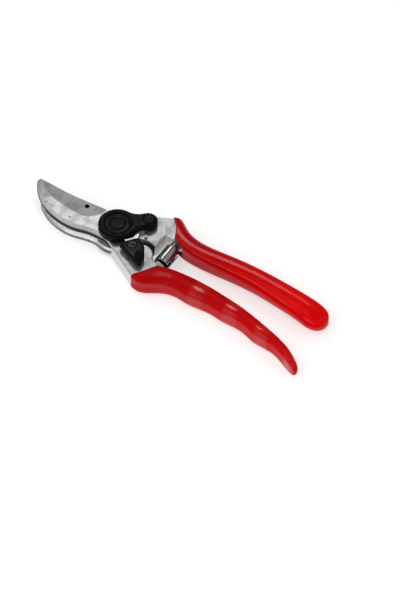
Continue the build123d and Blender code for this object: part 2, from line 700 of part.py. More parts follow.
# Catch plate: blank under the lever with the hooked arm, drawn released, and a rim turned up along the lever
rim_line = [(11.3, -8.5), (13.2, -6.3), (15.5, -2.9)]
with BuildPart() as catch_plate:
    with BuildSketch(Plane.XY.offset(PLATE_LOW)):
        with BuildLine():
            Polyline(
                (11.2, -10.8),
                *rim_line,
                (18.6, -3.6),
                (22.6, -6.6),
                (27.2, -13.4),
                (27.8, -17.8),
                (18.4, -14.6),
                close=True,
            )
        make_face()
        with BuildLine():
            Polyline(
                released(ARM_LEFT, 0.0),
                released(ARM_RIGHT, 0.0),
                released(ARM_RIGHT, nose_low),
                released(NOSE_LENGTH, nose_low),
                released(NOSE_LENGTH, nose_low + NOSE_THICK),
                released(ARM_LEFT, nose_low + NOSE_THICK),
                close=True,
            )
        make_face()
        with Locations(CATCH_AT):
            Circle(CATCH_SHOULDER + FIT_GAP, mode=Mode.SUBTRACT)
    extrude(amount=PLATE_THICK)
    with BuildSketch(Plane.XY.offset(PLATE_LOW)):
        with BuildLine():
            ThreePointArc(*rim_line)
        trace(line_width=RIM_THICK)
    extrude(amount=LEVER_TOP - RIM_DROP - PLATE_LOW)
finish(catch_plate, "catch_plate")

# Thumb catch: black lever with a raised pad for the thumb
with BuildSketch() as lever_outline:
    with BuildLine():
        Polyline(
            (10.4, -13.4),
            (11.9, -9.2),
            (13.95, -6.8),
            (16.6, -2.7),
            (19.6, -3.0),
            (23.9, -5.6),
            (29.0, -13.4),
            (29.8, -19.6),
            (26.4, -19.8),
            (17.2, -16.1),
            close=True,
        )
    make_face()
    fillet(lever_outline.vertices(), LEVER_ROUND)
with BuildPart() as thumb_catch:
    with BuildSketch(Plane.XY.offset(PLATE_TOP)):
        add(lever_outline.sketch)
    extrude(amount=LEVER_THICK)
    fillet(thumb_catch.faces().sort_by(Axis.Z)[-1].edges(), LEVER_EDGE)
    with BuildSketch(Plane.XY.offset(LEVER_TOP - LEVER_EDGE)):
        with Locations(Location((PAD_AT[0], PAD_AT[1], 0), (0, 0, PAD_ANGLE))):
            SlotOverall(PAD_LENGTH, PAD_WIDTH)
    extrude(amount=LEVER_EDGE + PAD_RAISE)
    fillet(thumb_catch.faces().sort_by(Axis.Z)[-1].edges(), PAD_RAISE * 0.8)
    with BuildSketch(Plane.XY.offset(PLATE_TOP)):
        with Locations(CATCH_AT):
            Circle(CATCH_SHOULDER + FIT_GAP)
    extrude(amount=LEVER_THICK, mode=Mode.SUBTRACT)
    with BuildSketch(Plane.XY.offset(COUNTERBORE_LOW)):
        with Locations(CATCH_AT):
            Circle(CATCH_HEAD + CATCH_GAP)
    extrude(amount=LEVER_THICK, mode=Mode.SUBTRACT)
finish(thumb_catch, "thumb_catch")

# Shoulder screw that the catch turns on
with BuildPart() as catch_screw:
    with BuildSketch(Plane.XY.offset(BACK)):
        with Locations(CATCH_AT):
            Circle(CATCH_THREAD)
    extrude(amount=HEAD_THICK)
    with BuildSketch(Plane.XY.offset(FRONT)):
        with Locations(CATCH_AT):
            Circle(CATCH_SHOULDER)
    extrude(amount=LEVER_TOP - CATCH_HEAD_THICK + RUN_GAP - FRONT)
    with BuildSketch(Plane.XY.offset(LEVER_TOP - CATCH_HEAD_THICK + RUN_GAP)):
        with Locations(CATCH_AT):
            Circle(CATCH_HEAD)
    extrude(amount=CATCH_HEAD_THICK)
    fillet(catch_screw.faces().sort_by(Axis.Z)[-1].edges(), CATCH_HEAD_THICK / 2)
    with BuildSketch(Plane.XY.offset(LEVER_TOP + RUN_GAP)):
        with Locations(CATCH_AT):
            Rectangle(3 * CATCH_HEAD, DRIVE_SLOT, rotation=CATCH_TURN)
    extrude(amount=-DRIVE_SLOT / 2, mode=Mode.SUBTRACT)
finish(catch_screw, "catch_screw")

# Spring washer under the head of that screw
with BuildPart() as catch_washer:
    with BuildSketch(Plane.XY.offset(COUNTERBORE_LOW + RUN_GAP)):
        with Locations(CATCH_AT):
            Circle(CATCH_HEAD)
            Circle(CATCH_SHOULDER, mode=Mode.SUBTRACT)
    extrude(amount=CATCH_WASHER_THICK)
finish(catch_washer, "catch_washer")

# Rubber bumper on the round of the blade handle's head
bumper_low = BACK + BUMPER_SHORT
bumper_high = FRONT - BUMPER_SHORT
bumper_outer = BOSS_RADIUS + BUMPER_THICK
with BuildPart() as rubber_bumper:
    with BuildSketch(Plane.XY.offset(bumper_low)):
        with BuildLine():
            inner_start = polar(BOSS_RADIUS, BUMPER_FROM, BOSS)
            inner_end = polar(BOSS_RADIUS, BUMPER_TO, BOSS)
            outer_start = polar(bumper_outer, BUMPER_FROM, BOSS)
            outer_end = polar(bumper_outer, BUMPER_TO, BOSS)
            ThreePointArc(inner_start, arc_middle(inner_start, inner_end, BOSS), inner_end)
            Line(inner_end, outer_end)
            ThreePointArc(outer_end, arc_middle(outer_end, outer_start, BOSS), outer_start)
            Line(outer_start, inner_start)
        make_face()
    extrude(amount=bumper_high - bumper_low)
    fillet(rubber_bumper.edges().filter_by(Axis.Z).group_by(SortBy.LENGTH)[-1], BUMPER_ROUND)
    for turn in STUD_TURNS:
        with BuildSketch(bumper_stud(turn)):
            Circle(STUD_RADIUS)
        extrude(amount=2 * STUD_REACH, mode=Mode.SUBTRACT)
finish(rubber_bumper, "rubber_bumper")

# Studs that hold the bumper
with BuildPart() as bumper_studs:
    for turn in STUD_TURNS:
        with BuildSketch(bumper_stud(turn)):
            Circle(STUD_RADIUS)
        extrude(amount=2 * STUD_REACH)
finish(bumper_studs, "bumper_studs")

# Return spring: one flat strip wound inward, each turn standing further out of the one around it
coil_pitch = STRIP_THICK + COIL_GAP
first_radius = SPRING_RADIUS - STRIP_THICK / 2
centers = []
radii = []
shift = 0.0
for turn in range(HALF_TURNS):
    radii.append(first_radius - turn * coil_pitch / 2)
    centers.append(shift)
    shift += coil_pitch / 2 if turn % 2 else -coil_pitch / 2
spring_plane = Plane(origin=(SPRING_X, SEAT_LOW, MIDDLE), x_dir=(1, 0, 0), z_dir=(0, 1, 0))
spring_rise = SEAT_HIGH + SEAT_DEPTH - SEAT_LOW - STRIP_WIDTH
innermost = radii[-1] - STRIP_THICK
slope = spring_rise / (SPRING_RADIUS - innermost)
with BuildPart() as return_spring:
    with BuildSketch(spring_plane):
        with BuildLine():
            for turn, (center, radius) in enumerate(zip(centers, radii)):
                CenterArc((center, 0), radius + STRIP_THICK / 2, 180 * (turn % 2), 180)
                CenterArc((center, 0), radius - STRIP_THICK / 2, 180 * (turn % 2), 180)
            start = centers[0] + radii[0]
            Line((start - STRIP_THICK / 2, 0), (start + STRIP_THICK / 2, 0))
            side = 1 if HALF_TURNS % 2 == 0 else -1
            end = centers[-1] + side * radii[-1]
            Line((end - STRIP_THICK / 2, 0), (end + STRIP_THICK / 2, 0))
        make_face()
    extrude(amount=SEAT_HIGH + SEAT_DEPTH - SEAT_LOW)
    with BuildSketch(Plane(origin=spring_plane.origin, x_dir=(1, 0, 0), z_dir=(0, 0, 1))):
        with BuildLine():
            wide = SPRING_RADIUS + coil_pitch
            low = slope * (SPRING_RADIUS - wide)
            peak = slope * SPRING_RADIUS
            Polyline((0, peak), (wide, low), (wide, low + STRIP_WIDTH), (0, peak + STRIP_WIDTH), close=True)
        make_face()
    revolve(axis=Axis(spring_plane.origin, (0, 1, 0)), mode=Mode.INTERSECT)
finish(return_spring, "return_spring")

# Least gap between neighbouring turns of the strip, measured on points along it
trace_points = []
for turn, (center, radius) in enumerate(zip(centers, radii)):
    for step in range(60):
        trace_points.append(polar(radius, 180 * (turn % 2) + 3 * step, (center, 0)))
least = min(
    math.dist(one, other)
    for index, one in enumerate(trace_points)
    for other in trace_points[index + 60:]
)
print("return spring: least gap between turns", round(least - STRIP_THICK, 3), "mm")
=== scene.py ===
"""Looks of the pruning shears: finishes, new surfaces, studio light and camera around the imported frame.

Sizes in the classes are millimetres in the frame of the part, and become metres when a mesh is made.
The pivot axis is Z, the jaws point to -X, the grips to +X, and the shears lie on z = 0.
"""

import logging
import math
from dataclasses import dataclass, field
from enum import Enum
from typing import Dict, Optional, Sequence, Tuple, Union

import bmesh
import bpy
import numpy as np
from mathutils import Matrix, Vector


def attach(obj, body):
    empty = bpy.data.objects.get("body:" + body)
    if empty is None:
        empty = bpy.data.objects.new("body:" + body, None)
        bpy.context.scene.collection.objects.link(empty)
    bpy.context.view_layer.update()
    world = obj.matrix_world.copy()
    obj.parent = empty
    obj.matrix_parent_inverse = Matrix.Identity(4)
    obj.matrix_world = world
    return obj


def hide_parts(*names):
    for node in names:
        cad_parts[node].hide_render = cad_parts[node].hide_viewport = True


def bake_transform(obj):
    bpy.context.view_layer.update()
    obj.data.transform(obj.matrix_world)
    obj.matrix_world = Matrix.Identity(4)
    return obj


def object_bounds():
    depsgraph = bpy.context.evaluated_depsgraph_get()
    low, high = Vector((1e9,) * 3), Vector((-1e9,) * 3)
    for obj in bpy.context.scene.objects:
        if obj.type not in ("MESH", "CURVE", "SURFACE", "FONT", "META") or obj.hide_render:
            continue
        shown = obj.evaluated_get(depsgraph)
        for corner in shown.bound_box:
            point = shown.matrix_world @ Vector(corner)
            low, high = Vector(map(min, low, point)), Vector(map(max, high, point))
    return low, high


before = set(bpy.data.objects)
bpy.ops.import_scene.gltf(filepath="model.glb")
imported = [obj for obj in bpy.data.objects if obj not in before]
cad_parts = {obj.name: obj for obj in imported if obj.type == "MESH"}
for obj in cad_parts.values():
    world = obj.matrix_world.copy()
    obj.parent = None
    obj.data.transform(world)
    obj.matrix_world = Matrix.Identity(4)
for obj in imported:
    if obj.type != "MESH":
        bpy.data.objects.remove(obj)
CAD_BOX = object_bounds()

MM = 0.001
FULL_TURN = 2.0 * math.pi
# Heights of the plane midway through the handles and of the heads' front faces, and the grips' thickness
MIDDLE = 7.5
FRONT = 13.0
GRIP_THICK = 15.0
# Band that the values of a noise texture mostly lie in
NOISE_BAND = (0.3, 0.7)
# Distance in metres within which points of a solid's mesh are one, and angles of flat joins and hard edges
SAME_POINT = 1e-6
FLAT_JOIN = math.radians(0.2)
HARD_EDGE = math.radians(30.0)
LOG = logging.getLogger("shears")

Point = Tuple[float, float]
Colour = Tuple[float, float, float]
Socket = bpy.types.NodeSocket
Feed = Union[float, Colour, Sequence[float], Socket]


class Body(Enum):
    """Bodies of the shears that a piece can ride on."""

    HOOK = "hook_side"
    BLADE = "blade_side"
    CATCH = "catch"


def polar(radius: np.ndarray, angle: np.ndarray, center: Point = (0.0, 0.0)) -> np.ndarray:
    """Points at radii and angles about a centre.

    Args:
        radius: distance from the centre, in mm.
        angle: angle from +X, in radians.
        center: the centre, in mm.

    Returns:
        Array with x and y in its last axis.
    """
    return np.stack((center[0] + radius * np.cos(angle), center[1] + radius * np.sin(angle)), axis=-1)


def soft_step(value: np.ndarray, low: float, high: float) -> np.ndarray:
    """Smooth step: 0 up to low, 1 from high on, and the cubic 3t^2 - 2t^3 between them."""
    share = np.clip((value - low) / (high - low), 0.0, 1.0)
    return share * share * (3.0 - 2.0 * share)


def signed_power(value: np.ndarray, power: float) -> np.ndarray:
    """Power of the size of each value, with the sign of the value."""
    return np.sign(value) * np.abs(value) ** power


def all_round(count: int) -> np.ndarray:
    """Evenly spaced directions around a full turn, in radians, without the closing one."""
    return np.linspace(0.0, FULL_TURN, count, endpoint=False)


def raised(flat: np.ndarray, level: Union[float, np.ndarray]) -> np.ndarray:
    """Points over a flat outline: its x and y with the level as z, both broadcast to one shape."""
    shape = np.broadcast_shapes(flat.shape[:-1], np.shape(level))
    spread = np.broadcast_to(flat, (*shape, 2))
    return np.concatenate((spread, np.broadcast_to(level, shape)[..., None]), axis=-1)


def rounded_top(place: np.ndarray, rim: np.ndarray, top: float, radius: float) -> np.ndarray:
    """Height of a flat top with a quarter round along its rim.

    A point d inside the rim lies at top - r + sqrt(r^2 - (r - d)^2), and at top once d reaches r.

    Args:
        place: x and y of each point.
        rim: points of the outline, of which every second one is measured to.
        top: height of the flat.
        radius: radius r of the round.

    Returns:
        z of each point.
    """
    apart = np.linalg.norm(place[:, :, None, :] - rim[None, None, ::2, :], axis=-1).min(axis=-1)
    inward = np.clip(radius - apart, 0.0, radius)
    return top - radius + np.sqrt(radius ** 2 - inward ** 2)


def direction(turn: float, rise: float) -> Vector:
    """Direction at an angle about Z from the -Y side and an angle above the floor, in degrees."""
    around = math.radians(turn)
    lift = math.radians(rise)
    return Vector((math.sin(around) * math.cos(lift), -math.cos(around) * math.cos(lift), math.sin(lift)))


def link(name: str, data: bpy.types.ID) -> bpy.types.Object:
    """New object of a mesh, lamp or camera, at the origin and linked to the scene."""
    piece = bpy.data.objects.new(name, data)
    bpy.context.scene.collection.objects.link(piece)
    return piece


def face(piece: bpy.types.Object, target: Vector, way: Vector, distance: float) -> None:
    """Place a lamp or camera at a distance from a target and turn it to look at the target."""
    piece.location = target + way * distance
    piece.rotation_mode = "QUATERNION"
    piece.rotation_quaternion = (-way).to_track_quat("-Z", "Y")


def smooth_path(knots: np.ndarray, count: int) -> np.ndarray:
    """Natural cubic spline through the rows of knots, spaced by chord length.

    Each column is a piecewise cubic whose second derivatives at the knots solve the usual
    tridiagonal system, with zero second derivative at both ends.

    Args:
        knots: one row for each knot.
        count: number of points along the spline, evenly spaced by chord length.

    Returns:
        Array of count rows with as many columns as knots.
    """
    gaps = np.linalg.norm(np.diff(knots, axis=0), axis=1)
    place = np.concatenate(([0.0], np.cumsum(gaps)))
    total = len(place)
    system = np.eye(total)
    inner = np.arange(1, total - 1)
    system[inner, inner - 1] = gaps[:-1]
    system[inner, inner] = 2.0 * (gaps[:-1] + gaps[1:])
    system[inner, inner + 1] = gaps[1:]
    slopes = np.diff(knots, axis=0) / gaps[:, None]
    right = np.zeros_like(knots)
    right[1:-1] = 6.0 * np.diff(slopes, axis=0)
    bend = np.linalg.solve(system, right)
    at = np.linspace(0.0, place[-1], count)
    span = np.clip(np.searchsorted(place, at, side="right") - 1, 0, total - 2)
    wide = gaps[span][:, None]
    after = (at - place[span])[:, None]
    before = wide - after
    curved = (bend[span] * before ** 3 + bend[span + 1] * after ** 3) / (6.0 * wide)
    start = (knots[span] / wide - bend[span] * wide / 6.0) * before
    end = (knots[span + 1] / wide - bend[span + 1] * wide / 6.0) * after
    return curved + start + end


def grid_object(name: str, grid: np.ndarray, wrap_rows: bool, cap_ends: bool) -> bpy.types.Object:
    """Mesh object from a grid of points whose columns close on themselves.

    Quads join each point to its neighbours. The first and last rows are joined when the rows wrap,
    or get a fan of triangles to their middle point when the ends are capped. Faces are turned so
    that the enclosed volume, the sum of a.(b x c) / 6 over the triangles, is positive.

    Args:
        name: name of the piece.
        grid: points in mm, rows by columns by 3.
        wrap_rows: whether the last row joins the first.
        cap_ends: whether the first and last rows are closed by fans.

    Returns:
        The object, linked to the scene, at the origin and in metres.
    """
    rows, columns = grid.shape[:2]
    row = np.arange(rows if wrap_rows else rows - 1)
    column = np.arange(columns)
    first, second = np.meshgrid(row, column, indexing="ij")
    here = first * columns
    below = (first + 1) % rows * columns
    beside = (second + 1) % columns
    corners = (here + second, here + beside, below + beside, below + second)
    quads = np.stack(corners, axis=-1).reshape(-1, 4)
    points = grid.reshape(-1, 3)
    fans = np.zeros((0, 3), dtype=int)
    if cap_ends:
        middles = np.stack((grid[0].mean(axis=0), grid[-1].mean(axis=0)))
        base = (rows - 1) * columns
        following = np.roll(column, -1)
        low = np.stack((np.full(columns, len(points)), following, column), axis=-1)
        high = np.stack((np.full(columns, len(points) + 1), base + column, base + following), axis=-1)
        fans = np.concatenate((low, high))
        points = np.concatenate((points, middles))
    triangles = np.concatenate((quads[:, [0, 1, 2]], quads[:, [0, 2, 3]], fans))
    edges = points[triangles]
    volume = np.einsum("ij,ij->i", edges[:, 0], np.cross(edges[:, 1], edges[:, 2])).sum()
    order = 1 if volume > 0 else -1
    faces = quads[:, ::order].tolist() + fans[:, ::order].tolist()
    mesh = bpy.data.meshes.new(name)
    mesh.from_pydata((points * MM).tolist(), [], faces)
    mesh.polygons.foreach_set("use_smooth", np.ones(len(faces), dtype=bool))
    mesh.update()
    return link(name, mesh)


def softened_copy(node: str, name: str, width: float) -> bpy.types.Object:
    """Copy of a CAD node with its flat parts joined and a fine round on its hard edges.

    Args:
        node: CAD node to copy.
        name: name of the new piece.
        width: width of the round, in mm.

    Returns:
        The copy, at the origin, with a Bevel modifier.
    """
    work = bmesh.new()
    work.from_mesh(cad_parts[node].data)
    bmesh.ops.remove_doubles(work, verts=work.verts, dist=SAME_POINT)
    bmesh.ops.dissolve_limit(work, angle_limit=FLAT_JOIN, verts=work.verts, edges=work.edges)
    mesh = bpy.data.meshes.new(name)
    work.to_mesh(mesh)
    work.free()
    mesh.polygons.foreach_set("use_smooth", np.ones(len(mesh.polygons), dtype=bool))
    piece = link(name, mesh)
    bevel = piece.modifiers.new("edge_round", "BEVEL")
    bevel.width = width * MM
    bevel.segments = 2
    bevel.limit_method = "ANGLE"
    bevel.angle_limit = HARD_EDGE
    level = piece.modifiers.new("flat_faces", "WEIGHTED_NORMAL")
    level.mode = "FACE_AREA"
    level.weight = 100
    level.keep_sharp = False
    return piece


def settle(piece: bpy.types.Object, body: Body, material: bpy.types.Material, slot: str, *nodes: str) -> None:
    """Dress a new piece, ride it on its body and let it stand for CAD nodes.

    Args:
        piece: the new piece.
        body: body that carries it.
        material: its finish.
        slot: material slot of the record; not used.
        nodes: CAD nodes that it replaces.
    """
    piece.data.materials.clear()
    piece.data.materials.append(material)
    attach(piece, body.value)
    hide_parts(*nodes)
    LOG.info("%s rides on %s and stands for %s", piece.name, body.value, ", ".join(nodes))


def dress(node: str, material: bpy.types.Material) -> None:
    """Give a CAD node that stays as it is a better material."""
    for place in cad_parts[node].material_slots:
        place.material = material
    LOG.info("%s is dressed in %s", node, material.name)


class Wiring:
    """Short way to add and join the nodes of one node tree."""

    def __init__(self, tree: bpy.types.NodeTree) -> None:
        """Keep the tree that the nodes go into."""
        self.tree = tree

    def feed(self, socket: Socket, value: Feed) -> None:
        """Join an output to a socket, or set the socket's value."""
        if isinstance(value, Socket):
            self.tree.links.new(value, socket)
        elif socket.type == "RGBA":
            socket.default_value = (*value, 1.0)
        else:
            socket.default_value = value

    def add(self, kind: str, inputs: Optional[Dict] = None, **settings: object) -> bpy.types.Node:
        """Add a node.

        Args:
            kind: Blender's name of the node type.
            inputs: names or indices of its sockets, with the value or output that feeds each.
            settings: properties of the node.

        Returns:
            The new node.
        """
        node = self.tree.nodes.new(kind)
        for name, value in settings.items():
            setattr(node, name, value)
        for name, value in (inputs or {}).items():
            self.feed(node.inputs[name], value)
        return node

    def maths(self, operation: str, first: Feed, second: Feed = 0.0) -> Socket:
        """Output of a Math node."""
        return self.add("ShaderNodeMath", {0: first, 1: second}, operation=operation).outputs[0]

    def axes(self, vector: Feed) -> Sequence[Socket]:
        """The x, y and z of a vector."""
        return self.add("ShaderNodeSeparateXYZ", {0: vector}).outputs

    def vector(self, x: Feed, y: Feed, z: Feed) -> Socket:
        """Vector of three values."""
        return self.add("ShaderNodeCombineXYZ", {0: x, 1: y, 2: z}).outputs[0]

    def upward(self) -> Socket:
        """Upward part of the surface's normal: 1 on a level top and 0 on an upright side."""
        return self.axes(self.add("ShaderNodeNewGeometry").outputs["Normal"])[2]

    def more(self, base: Feed, share: float, tone: Feed) -> Socket:
        """Base with a share of a tone added."""
        return self.maths("ADD", self.maths("MULTIPLY", tone, share), base)

    def span(self, value: Feed, low: float, high: float, start: float = 0.0, end: float = 1.0) -> Socket:
        """Value taken from low..high to start..end with a smooth step."""
        inputs = {"Value": value, "From Min": low, "From Max": high, "To Min": start, "To Max": end}
        return self.add("ShaderNodeMapRange", inputs, interpolation_type="SMOOTHSTEP").outputs["Result"]

    def spread(self, tone: Feed, start: float = 0.0, end: float = 1.0) -> Socket:
        """Noise taken from the band that it mostly lies in to start..end."""
        return self.span(tone, *NOISE_BAND, start, end)

    def blend(self, share: Feed, first: Feed, second: Feed, kind: str = "MIX") -> Socket:
        """Colour between a first colour and a second one, or what Blender's named kind of mix makes of it."""
        node = self.add("ShaderNodeMix", data_type="RGBA", blend_type=kind)
        self.feed(node.inputs["Factor"], share)
        self.feed(node.inputs[6], first)
        self.feed(node.inputs[7], second)
        return node.outputs[2]

    def dimmed(self, colour: Feed, value: Feed) -> Socket:
        """Colour multiplied by a value."""
        grey = self.add("ShaderNodeCombineColor", {0: value, 1: value, 2: value}).outputs[0]
        return self.blend(1.0, colour, grey, "MULTIPLY")

    def noise(self, place: Feed, scale: Feed, detail: float = 3.0) -> Socket:
        """Value of a noise texture."""
        inputs = {"Vector": place, "Scale": scale, "Detail": detail, "Roughness": 0.55}
        return self.add("ShaderNodeTexNoise", inputs).outputs[0]


class Effect(Enum):
    """Surface effects that several finishes share, each one node group."""

    GRAIN = "fine_grain"
    LINES = "grinding_lines"
    MARKS = "handling_marks"


def new_group(effect: Effect, values: Sequence[str], outputs: Sequence[str]) -> Tuple[Wiring, Dict, Dict]:
    """Start a shader node group with a Vector input and named values.

    Args:
        effect: which effect it holds.
        values: names of its value inputs.
        outputs: names of its value outputs.

    Returns:
        Its wiring, the sockets that its inputs come from and the sockets that its outputs go to.
    """
    tree = bpy.data.node_groups.new(effect.value, "ShaderNodeTree")
    tree.interface.new_socket("Vector", in_out="INPUT", socket_type="NodeSocketVector")
    for name in values:
        tree.interface.new_socket(name, in_out="INPUT", socket_type="NodeSocketFloat")
    for name in outputs:
        tree.interface.new_socket(name, in_out="OUTPUT", socket_type="NodeSocketFloat")
    wires = Wiring(tree)
    return wires, wires.add("NodeGroupInput").outputs, wires.add("NodeGroupOutput").inputs


def build_effects() -> None:
    """Build the shared node groups once.

    Fine grain is two noises, one at the scale for the height and one five times coarser for the tone.
    Grinding lines are noise squeezed along one axis. Handling marks are coarse noise lifted to patches.
    """
    wires, start, end = new_group(Effect.GRAIN, ("Scale",), ("Height", "Tone"))
    coarse = wires.maths("MULTIPLY", start["Scale"], 0.2)
    wires.feed(end["Height"], wires.noise(start["Vector"], start["Scale"], 2.0))
    wires.feed(end["Tone"], wires.noise(start["Vector"], coarse, 4.0))

    wires, start, end = new_group(Effect.LINES, ("Scale", "Stretch"), ("Height", "Tone"))
    x, y, z = wires.axes(start["Vector"])
    squeezed = wires.vector(x, wires.maths("DIVIDE", y, start["Stretch"]), z)
    coarse = wires.maths("MULTIPLY", start["Scale"], 0.3)
    wires.feed(end["Height"], wires.noise(squeezed, start["Scale"], 2.0))
    wires.feed(end["Tone"], wires.noise(squeezed, coarse, 3.0))

    wires, start, end = new_group(Effect.MARKS, ("Scale",), ("Marks",))
    patches = wires.noise(start["Vector"], start["Scale"], 5.0)
    wires.feed(end["Marks"], wires.span(patches, 0.42, 0.68))


class Paint:
    """A material on its Principled shader, with the shared effects at hand."""

    def __init__(self, name: str) -> None:
        """Start a material with Object coordinates and an empty Principled shader."""
        self.material = bpy.data.materials.new(name)
        self.material.use_nodes = True
        tree = self.material.node_tree
        self.wires = Wiring(tree)
        self.shader = next(node for node in tree.nodes if node.bl_idname == "ShaderNodeBsdfPrincipled")
        self.place = self.wires.add("ShaderNodeTexCoord").outputs["Object"]

    def effect(self, effect: Effect, place: Optional[Feed] = None, **values: float) -> Dict:
        """Place a shared effect with its own values.

        Args:
            effect: the effect.
            place: coordinates, or None for Object coordinates.
            values: its other inputs.

        Returns:
            Its outputs by name.
        """
        node = self.wires.add("ShaderNodeGroup", node_tree=bpy.data.node_groups[effect.value])
        self.wires.feed(node.inputs["Vector"], self.place if place is None else place)
        for name, value in values.items():
            self.wires.feed(node.inputs[name], value)
        return node.outputs

    def turned(self, angle: float) -> Socket:
        """Object coordinates turned about Z by an angle in degrees."""
        inputs = {"Vector": self.place, "Rotation": (0.0, 0.0, math.radians(angle))}
        return self.wires.add("ShaderNodeMapping", inputs).outputs[0]

    def set(self, **values: Feed) -> None:
        """Feed the shader's sockets, with underscores for the spaces in their names."""
        for name, value in values.items():
            self.wires.feed(self.shader.inputs[name.replace("_", " ")], value)

    def bump(self, height: Feed, depth: float, base: Optional[Feed] = None) -> Socket:
        """Bump of a height field.

        Args:
            height: the height, 0 to 1.
            depth: what a height of 1 stands for, in mm.
            base: normal to start from, or None for the surface's own.

        Returns:
            The bent normal.
        """
        inputs = {"Height": height, "Distance": depth * MM, "Strength": 1.0}
        if base is not None:
            inputs["Normal"] = base
        return self.wires.add("ShaderNodeBump", inputs).outputs[0]


@dataclass(frozen=True)
class Vinyl:
    """Glossy dipped vinyl, with the slight waves and fine skin that dipping leaves."""

    name: str
    deep: Colour
    bright: Colour
    # pale is a painted reflection: the downward-facing sides blend toward it as if lit by the white floor
    pale: Colour = (0.95, 0.11, 0.14)
    floor_reflection_slopes: Point = (-0.60, 0.35)
    floor_reflection_share: float = 0.85
    fade: Point = (30.0, 140.0)
    fade_share: float = 0.85
    mottle: float = 0.15
    mottle_band: Point = (0.3, 0.75)
    roughness: float = 0.12
    marked: float = 0.03
    rubbed: float = 0.0
    rubbed_crest: float = 0.9
    rubbed_roughness: float = 0.10
    rubbed_index: float = 1.25
    rubbed_from: Point = (44.0, 66.0)
    rubbed_least: float = 0.15
    crest: float = 71.0
    pitch: float = 25.6
    index: float = 1.19
    skin: float = 900.0
    skin_depth: float = 0.002
    waves: float = 90.0
    wave_depth: float = 0.012
    marks: float = 70.0

    def material(self) -> bpy.types.Material:
        """Build the material: deeper toward the heads, paler underneath as a painted reflection of the white
        floor, glossier on the rubbed crests.
        """
        paint = Paint(self.name)
        wires = paint.wires
        skin = paint.effect(Effect.GRAIN, Scale=self.skin)
        waves = paint.effect(Effect.GRAIN, Scale=self.waves)
        marks = paint.effect(Effect.MARKS, Scale=self.marks)
        x = wires.axes(paint.place)[0]
        along = wires.span(x, self.fade[0] * MM, self.fade[1] * MM, 0.0, self.fade_share)
        mottled = wires.span(waves["Height"], *self.mottle_band, 0.0, self.mottle)
        shade = wires.blend(wires.maths("ADD", along, mottled), self.deep, self.bright)
        # painted reflection: faces turned down are blended toward the pale colour, standing in for the white
        # floor's light
        under = wires.span(wires.upward(), *self.floor_reflection_slopes, self.floor_reflection_share, 0.0)
        shade = wires.blend(under, shade, self.pale)
        turn = wires.maths("MULTIPLY", x, FULL_TURN / (self.pitch * MM))
        wave = wires.maths("COSINE", wires.maths("SUBTRACT", turn, FULL_TURN * self.crest / self.pitch))
        reached = wires.span(x, self.rubbed_from[0] * MM, self.rubbed_from[1] * MM, self.rubbed_least, 1.0)
        polish = wires.maths("MULTIPLY", wires.span(wave, 0.0, self.rubbed_crest, 0.0, self.rubbed), reached)
        rough = wires.more(self.roughness, self.marked, marks["Marks"])
        broad = paint.bump(waves["Height"], self.wave_depth)
        paint.set(Base_Color=shade, Roughness=rough, IOR=self.index)
        paint.set(Coat_Weight=polish, Coat_Roughness=self.rubbed_roughness, Coat_IOR=self.rubbed_index)
        paint.set(Normal=paint.bump(skin["Height"], self.skin_depth, broad))
        return paint.material


@dataclass(frozen=True)
class ForgedAlloy:
    """Light alloy, forged, tumbled and wiped, with a fine satin grain and faint streaks."""

    name: str = "tumbled_forged_alloy"
    low: Colour = (0.33, 0.335, 0.325)
    high: Colour = (0.45, 0.455, 0.44)
    # upright is painted light: the upright sides get a lighter colour than the tops, for how they catch the
    # light
    upright: Colour = (0.66, 0.67, 0.65)
    side_light_slopes: Point = (0.35, 0.85)
    roughness: float = 0.40
    marked: float = 0.12
    grain: float = 2600.0
    grain_depth: float = 0.012
    streaks: float = 1500.0
    streak_length: float = 14.0
    streak_angle: float = -30.0
    streak_share: float = 0.3
    streak_depth: float = 0.006
    marks: float = 120.0

    def material(self) -> bpy.types.Material:
        """Build the material: the upright sides are painted lighter than the tops, as painted light."""
        paint = Paint(self.name)
        wires = paint.wires
        grain = paint.effect(Effect.GRAIN, Scale=self.grain)
        turned = paint.turned(self.streak_angle)
        streaks = paint.effect(Effect.LINES, place=turned, Scale=self.streaks, Stretch=self.streak_length)
        marks = paint.effect(Effect.MARKS, Scale=self.marks)
        coarse = wires.maths("MULTIPLY", grain["Tone"], 1.0 - self.streak_share)
        tone = wires.more(coarse, self.streak_share, streaks["Tone"])
        top = wires.blend(wires.spread(tone), self.low, self.high)
        # painted light: upright faces are blended toward the lighter upright colour
        level = wires.span(wires.maths("ABSOLUTE", wires.upward()), *self.side_light_slopes)
        rough = wires.more(self.roughness, self.marked, marks["Marks"])
        fine = paint.bump(grain["Height"], self.grain_depth)
        paint.set(Base_Color=wires.blend(level, self.upright, top), Roughness=rough, Metallic=1.0)
        paint.set(Normal=paint.bump(streaks["Height"], self.streak_depth, fine))
        return paint.material


